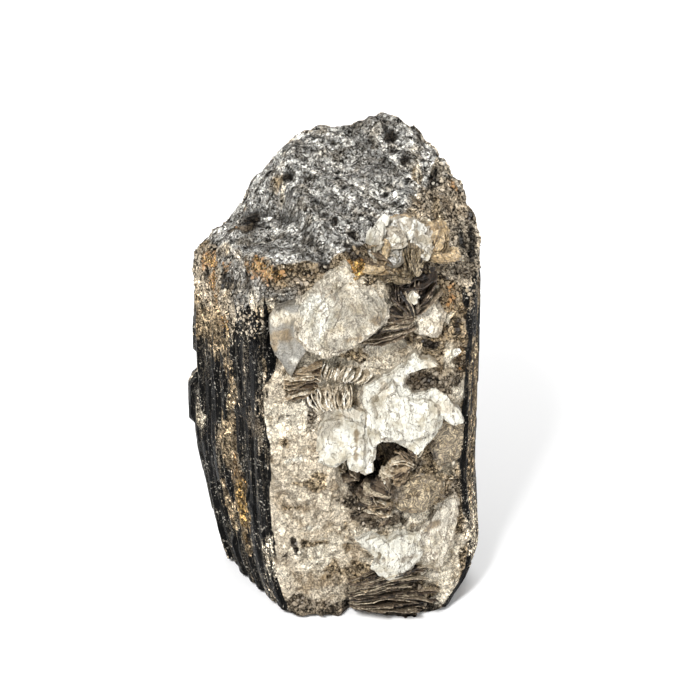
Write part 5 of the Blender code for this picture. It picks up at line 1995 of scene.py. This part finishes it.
ROUND_BOOK = (
    Cup("round_bed", Mica.BROWN, (18.3, -15.3, 107.8), (0.1, -0.75, 0.65),
        (8.6, 7.6), (1.4, 1.2), 4, 0.3, 0.95, 0.5, 1),
    Cup("round_rim", Mica.WHITE, (10, -19.8, 109.4), (-0.75, -0.6, 0.25),
        (1.9, 8.4), (-0.4, -3), 7, 0.3, 0.95, 0.3),
    Cup("round_fan", Mica.PEARL, (18.2, -18.6, 110), (0.05, -0.76, 0.64),
        (7.4, 6.2), (1.2, 0.8), 6, 0.3, 0.92, 0.7, 1),
    Cup("round_crown", Mica.HONEY, (15.6, -14.6, 113.4), (0.1, -0.66, 0.75),
        (5, 1.8), (1, 0.4), 5, 0.3, 0.86, 1),
    Cup("round_white", Mica.WHITE, (14.6, -19.8, 110.8), (-0.15, -0.78, 0.6),
        (4.2, 2.8), (0.8, 0.6), 4, 0.28, 0.86, 0.5, 0.8),
    Cup("round_heart", Mica.GREY, (15, -21.6, 107), (-0.1, -0.82, 0.56),
        (2.6, 3.4), (0.8, 0.6), 3, 0.28, 0.9, 0.3, 0.2),
    Cup("round_fold_rim", Mica.HONEY, (12.6, -21.6, 106.6), (-0.5, -0.76, 0.4),
        (1.2, 4.4), (0.3, 0.9), 4, 0.28, 0.94, 0.3),
    Cup("round_folds", Mica.BROWN, (18, -21.4, 105.6), (0.8, -0.56, 0.2),
        (3, 5), (1.4, 0.6), 11, 0.34, 0.95, 0.7, 1),
    Cup("round_pale", Mica.PEARL, (21.8, -20.2, 108.6), (0.25, -0.8, 0.54),
        (3, 3.4), (0.8, 0.5), 5, 0.3, 0.85, 0.5, 1),
    Cup("round_curl", Mica.HONEY, (26, -17.6, 109), (-0.4, -0.8, 0.45),
        (3.8, 5.8), (2, 0.8), 8, 0.35, 0.9, 0.8, 1.3),
    Cup("round_ledge", Mica.HONEY, (27.2, -20, 105.4), (0.1, -0.6, 0.8),
        (4.6, 1.6), (0.6, 0.9), 6, 0.3, 0.93, 0.5, 1),
    Cup("round_lip", Mica.HONEY, (9.6, -22.4, 103.9), (-0.1, -0.62, 0.78),
        (6.4, 1.8), (0.8, 0.8), 6, 0.36, 0.9, 0.9),
    Cup("round_lip_dark", Mica.BROWN, (16.6, -22.8, 102.2), (0.2, -0.62, 0.76),
        (5.6, 2), (0.8, 0.8), 6, 0.4, 0.9, 0.9),
    Cup("chip_dark_fan", Mica.WHITE, (19.6, -27.2, 98.4), (0.2, -0.95, 0.2),
        (1.4, 1.8), (0.2, 0.2), 2, 0.3, 0.9, 0.5, 0, 4),
    Cup("chip_edge", Mica.WHITE, (31, -21.6, 79.6), (0.5, -0.8, 0.2),
        (1.1, 0.9), (0.2, 0.2), 2, 0.2, 0.9, 0.5, 0, 5),
)


# ---- repeated small pieces


@dataclass(frozen=True)
class Chips:
    """A few small shapes that are repeated over the specimen.

    Attributes:
        name: The name of the set.
        flat: The thickness of a shape to its width; from a half upwards it is a lump, else a flake.
        corners: Corners of a flake, or points of a lump.
        kinds: How many shapes there are.
    """

    name: str
    flat: float
    corners: int
    kinds: int = 4

    def make(self) -> Collection:
        """Returns a collection of the shapes, each about a millimetre across."""
        shapes = bpy.data.collections.new(self.name)
        for kind in range(self.kinds):
            dice = random.Random(f"{self.name}{kind}")
            bm = bmesh.new()
            if self.flat < 0.5:
                self._flake(bm, dice)
            else:
                self._lump(bm, dice)
            bmesh.ops.triangulate(bm, faces=bm.faces)
            bmesh.ops.recalc_face_normals(bm, faces=bm.faces)
            mesh = bpy.data.meshes.new(f"{self.name}_{kind}")
            bm.to_mesh(mesh)
            bm.free()
            shapes.objects.link(bpy.data.objects.new(f"{self.name}_{kind}", mesh))
        return shapes

    def _flake(self, bm: bmesh.types.BMesh, dice: random.Random) -> None:
        """Makes a thin leaf with a broken outline."""
        outline = []
        for i in range(self.corners):
            angle = 2 * math.pi * (i + dice.uniform(-0.35, 0.35)) / self.corners
            reach = dice.uniform(0.32, 0.58) * MM
            outline.append((reach * math.cos(angle), reach * 0.8 * math.sin(angle)))
        low, high = ([bm.verts.new((*place, z)) for place in outline] for z in (0.0, self.flat * MM))
        bm.faces.new(low[::-1])
        bm.faces.new(high)
        for a, b, c, d in zip(low, low[1:] + low[:1], high[1:] + high[:1], high):
            bm.faces.new((a, b, c, d))

    def _lump(self, bm: bmesh.types.BMesh, dice: random.Random) -> None:
        """Makes an angular lump."""
        for _ in range(self.corners):
            direction = Vector((dice.gauss(0, 1), dice.gauss(0, 1), dice.gauss(0, 1))).normalized()
            bm.verts.new(direction * dice.uniform(0.38, 0.56) * MM)
        made = bmesh.ops.convex_hull(bm, input=bm.verts)
        spare = made["geom_interior"] + made["geom_unused"]
        spare = {item for item in spare if isinstance(item, bmesh.types.BMVert)}
        bmesh.ops.delete(bm, geom=list(spare), context="VERTS")


@dataclass(frozen=True)
class Strewing:
    """Flakes or lumps strewn over the ground.

    Attributes:
        name: The piece's name.
        chips: The shapes.
        cover: The ground's attribute that says where they lie.
        spacing: The least distance between two of them.
        smallest: Least size, as a multiple of the shapes'.
        largest: Greatest size.
        tilt: Greatest tilt off the ground, in degrees.
        seed: Chooses the places.
    """

    name: str
    chips: Chips
    cover: str
    spacing: float
    smallest: float
    largest: float
    tilt: float
    seed: int

    def tree(self) -> Repeater:
        """Returns the node tree that strews the shapes over its geometry."""
        numbers = {"Spacing": "Float", "Smallest": "Float", "Largest": "Float", "Tilt": "Float"}
        graph = Repeater(self.name, numbers)
        spacing, smallest, largest, tilt = (graph.given[name] for name in numbers)
        cover = graph.add("GeometryNodeInputNamedAttribute", {"data_type": "FLOAT"}, {"Name": self.cover})
        inputs = {
            "Mesh": graph.given["Geometry"],
            "Distance Min": spacing,
            "Density Max": 3 / (self.spacing * MM) ** 2,
            "Density Factor": cover,
            "Seed": self.seed,
        }
        scatter = graph.add("GeometryNodeDistributePointsOnFaces", {"distribute_method": "POISSON"}, inputs)
        level = tilt * -1.0
        least, most = graph.vector(level, level, -math.pi), graph.vector(tilt, tilt, math.pi)
        turn = graph.random_vector(least, most, self.seed + 1)
        upright = Value(graph, scatter.socket.node.outputs["Rotation"])
        turned = graph.add("FunctionNodeEulerToRotation", None, {"Euler": turn})
        inputs = {"Rotation": upright, "Rotate By": turned}
        rotation = graph.add("FunctionNodeRotateRotation", {"rotation_space": "LOCAL"}, inputs)
        size = graph.random(smallest, largest, self.seed + 2)
        graph.repeat(scatter, rotation, size, self.chips.kinds - 1, (self.seed + 3, self.seed + 4))
        return graph

    def strew(self, ground: Mesh, material: Material) -> Object:
        """Strews the shapes over a mesh and returns them as one piece."""
        settings = {
            "Shapes": self.chips.make(),
            "Material": material,
            "Spacing": self.spacing * MM,
            "Smallest": self.smallest,
            "Largest": self.largest,
            "Tilt": math.radians(self.tilt),
        }
        return place_piece(self.name, self.tree().run(ground, settings), material)


# ---- studio


@dataclass(frozen=True)
class Studio:
    """A pale floor, soft light and the camera.

    Attributes:
        target: What the lights and the camera face.
        elevation: How steeply the camera looks down, in degrees.
        distance: From the target to the camera.
        lens: The camera's focal length.
        sensor: The width of its sensor.
        nearest: The least distance that it shows, in metres.
        lamps: Each lamp's name, place, size and power.
        sky: Strength of the white light from all round.
        floor_reach: From the floor's middle to its sides, in metres.
        floor_level: How pale it is.
        floor_roughness: How dull it is.
    """

    target: tuple = (4.0, 0.0, 69.0)
    elevation: float = 28.0
    distance: float = 430.0
    lens: float = 81.4
    sensor: float = 36.0
    nearest: float = 0.01
    lamps: tuple = (
        ("key", (-230.0, -470.0, 600.0), 170.0, 6.5),
        ("fill", (420.0, -400.0, 300.0), 400.0, 1.2),
        ("back", (40.0, 540.0, 460.0), 420.0, 3.4),
    )
    sky: float = 0.38
    floor_reach: float = 3.0
    floor_level: float = 0.97
    floor_roughness: float = 0.9

    def make(self) -> None:
        """Makes the floor, the lights and the camera."""
        self.floor()
        for name, place, size, power in self.lamps:
            self.light(name, place, size, power)
        world = bpy.data.worlds.new("studio")
        world.use_nodes = True
        background = world.node_tree.nodes["Background"]
        background.inputs["Color"].default_value = (1.0, 1.0, 1.0, 1.0)
        background.inputs["Strength"].default_value = self.sky
        bpy.context.scene.world = world
        bpy.context.scene.view_settings.view_transform = "Standard"
        self.camera()

    def floor(self) -> None:
        """Makes the floor."""
        mesh = bpy.data.meshes.new("floor")
        ends = (-self.floor_reach, self.floor_reach)
        mesh.from_pydata([(x, y, 0.0) for y in ends for x in ends], [], [(0, 1, 3, 2)])
        material = bpy.data.materials.new("floor")
        material.use_nodes = True
        shader = material.node_tree.nodes["Principled BSDF"]
        shader.inputs["Base Color"].default_value = (*(self.floor_level,) * 3, 1.0)
        shader.inputs["Roughness"].default_value = self.floor_roughness
        mesh.materials.append(material)
        floor = bpy.data.objects.new("floor", mesh)
        bpy.context.scene.collection.objects.link(floor)
        floor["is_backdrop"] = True

    def light(self, name: str, place: tuple, size: float, power: float) -> None:
        """Makes a square soft light that faces the specimen."""
        lamp = bpy.data.lights.new(name, "AREA")
        lamp.size = size * MM
        lamp.energy = power
        light = bpy.data.objects.new(name, lamp)
        light.location = Vector(place) * MM
        facing = Vector(self.target) * MM - light.location
        light.rotation_euler = facing.to_track_quat("-Z", "Y").to_euler()
        bpy.context.scene.collection.objects.link(light)

    def camera(self) -> None:
        """Makes the camera."""
        camera = bpy.data.cameras.new("camera")
        camera.lens = self.lens
        camera.sensor_width = self.sensor
        camera.clip_start = self.nearest
        holder = bpy.data.objects.new("camera", camera)
        tilt = math.radians(self.elevation)
        back = Vector((0.0, -math.cos(tilt), math.sin(tilt)))
        target = (Vector(self.target) + Vector(AXIS_PLACE)) * MM
        holder.location = target + back * self.distance * MM
        holder.rotation_euler = (-back).to_track_quat("-Z", "Y").to_euler()
        bpy.context.scene.collection.objects.link(holder)
        bpy.context.scene.camera = holder


STREWINGS = (
    (
        Strewing("crust_flakes", Chips("flake", 0.12, 7), "crust", 1.1, 0.5, 1.7, 28.0, 15),
        GrainFinish("flakes_crust", Tone.CREAM.value, 1.5, 0.6),
    ),
    (
        Strewing("top_grains", Chips("crumb", 1.0, 9), "top", 1.1, 0.3, 0.8, 40.0, 25),
        GrainFinish("grains_top", Tone.SLATE.value, 1.2, 0.5),
    ),
    (
        Strewing("shoulder_flakes", Chips("scale", 0.12, 6), "shoulder", 1.0, 0.5, 1.5, 32.0, 35),
        GrainFinish("flakes_shoulder", Tone.CREAM.value, 1.9, 0.45),
    ),
)


def main() -> None:
    """Builds the specimen and the studio round it."""
    logging.basicConfig(level=logging.INFO, format="%(message)s")
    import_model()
    cad_box = [list(corner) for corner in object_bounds()]
    specimen = Specimen()
    ground = specimen.build()
    body = place_piece("specimen", ground, GroundFinish().make())
    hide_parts(NODE)
    maker = PlateMaker(specimen)
    binder = BookBinder(maker)
    pieces = [body, *(maker.make(plate) for plate in PLATES)]
    pieces += [cup.build(maker) for cup in ROUND_BOOK]
    pieces += [binder.bind(book) for book in BOOKS]
    pieces += [strewing.strew(ground, finish.make()) for strewing, finish in STREWINGS]
    low, high = np.array(cad_box[0]) + INSET, np.array(cad_box[1]) - INSET
    for piece in pieces:
        hold_inside(piece.data, low, high)
        log.info("%s: %d faces", piece.name, len(piece.data.polygons))
    Studio().make()


if __name__ == "__main__":
    main()
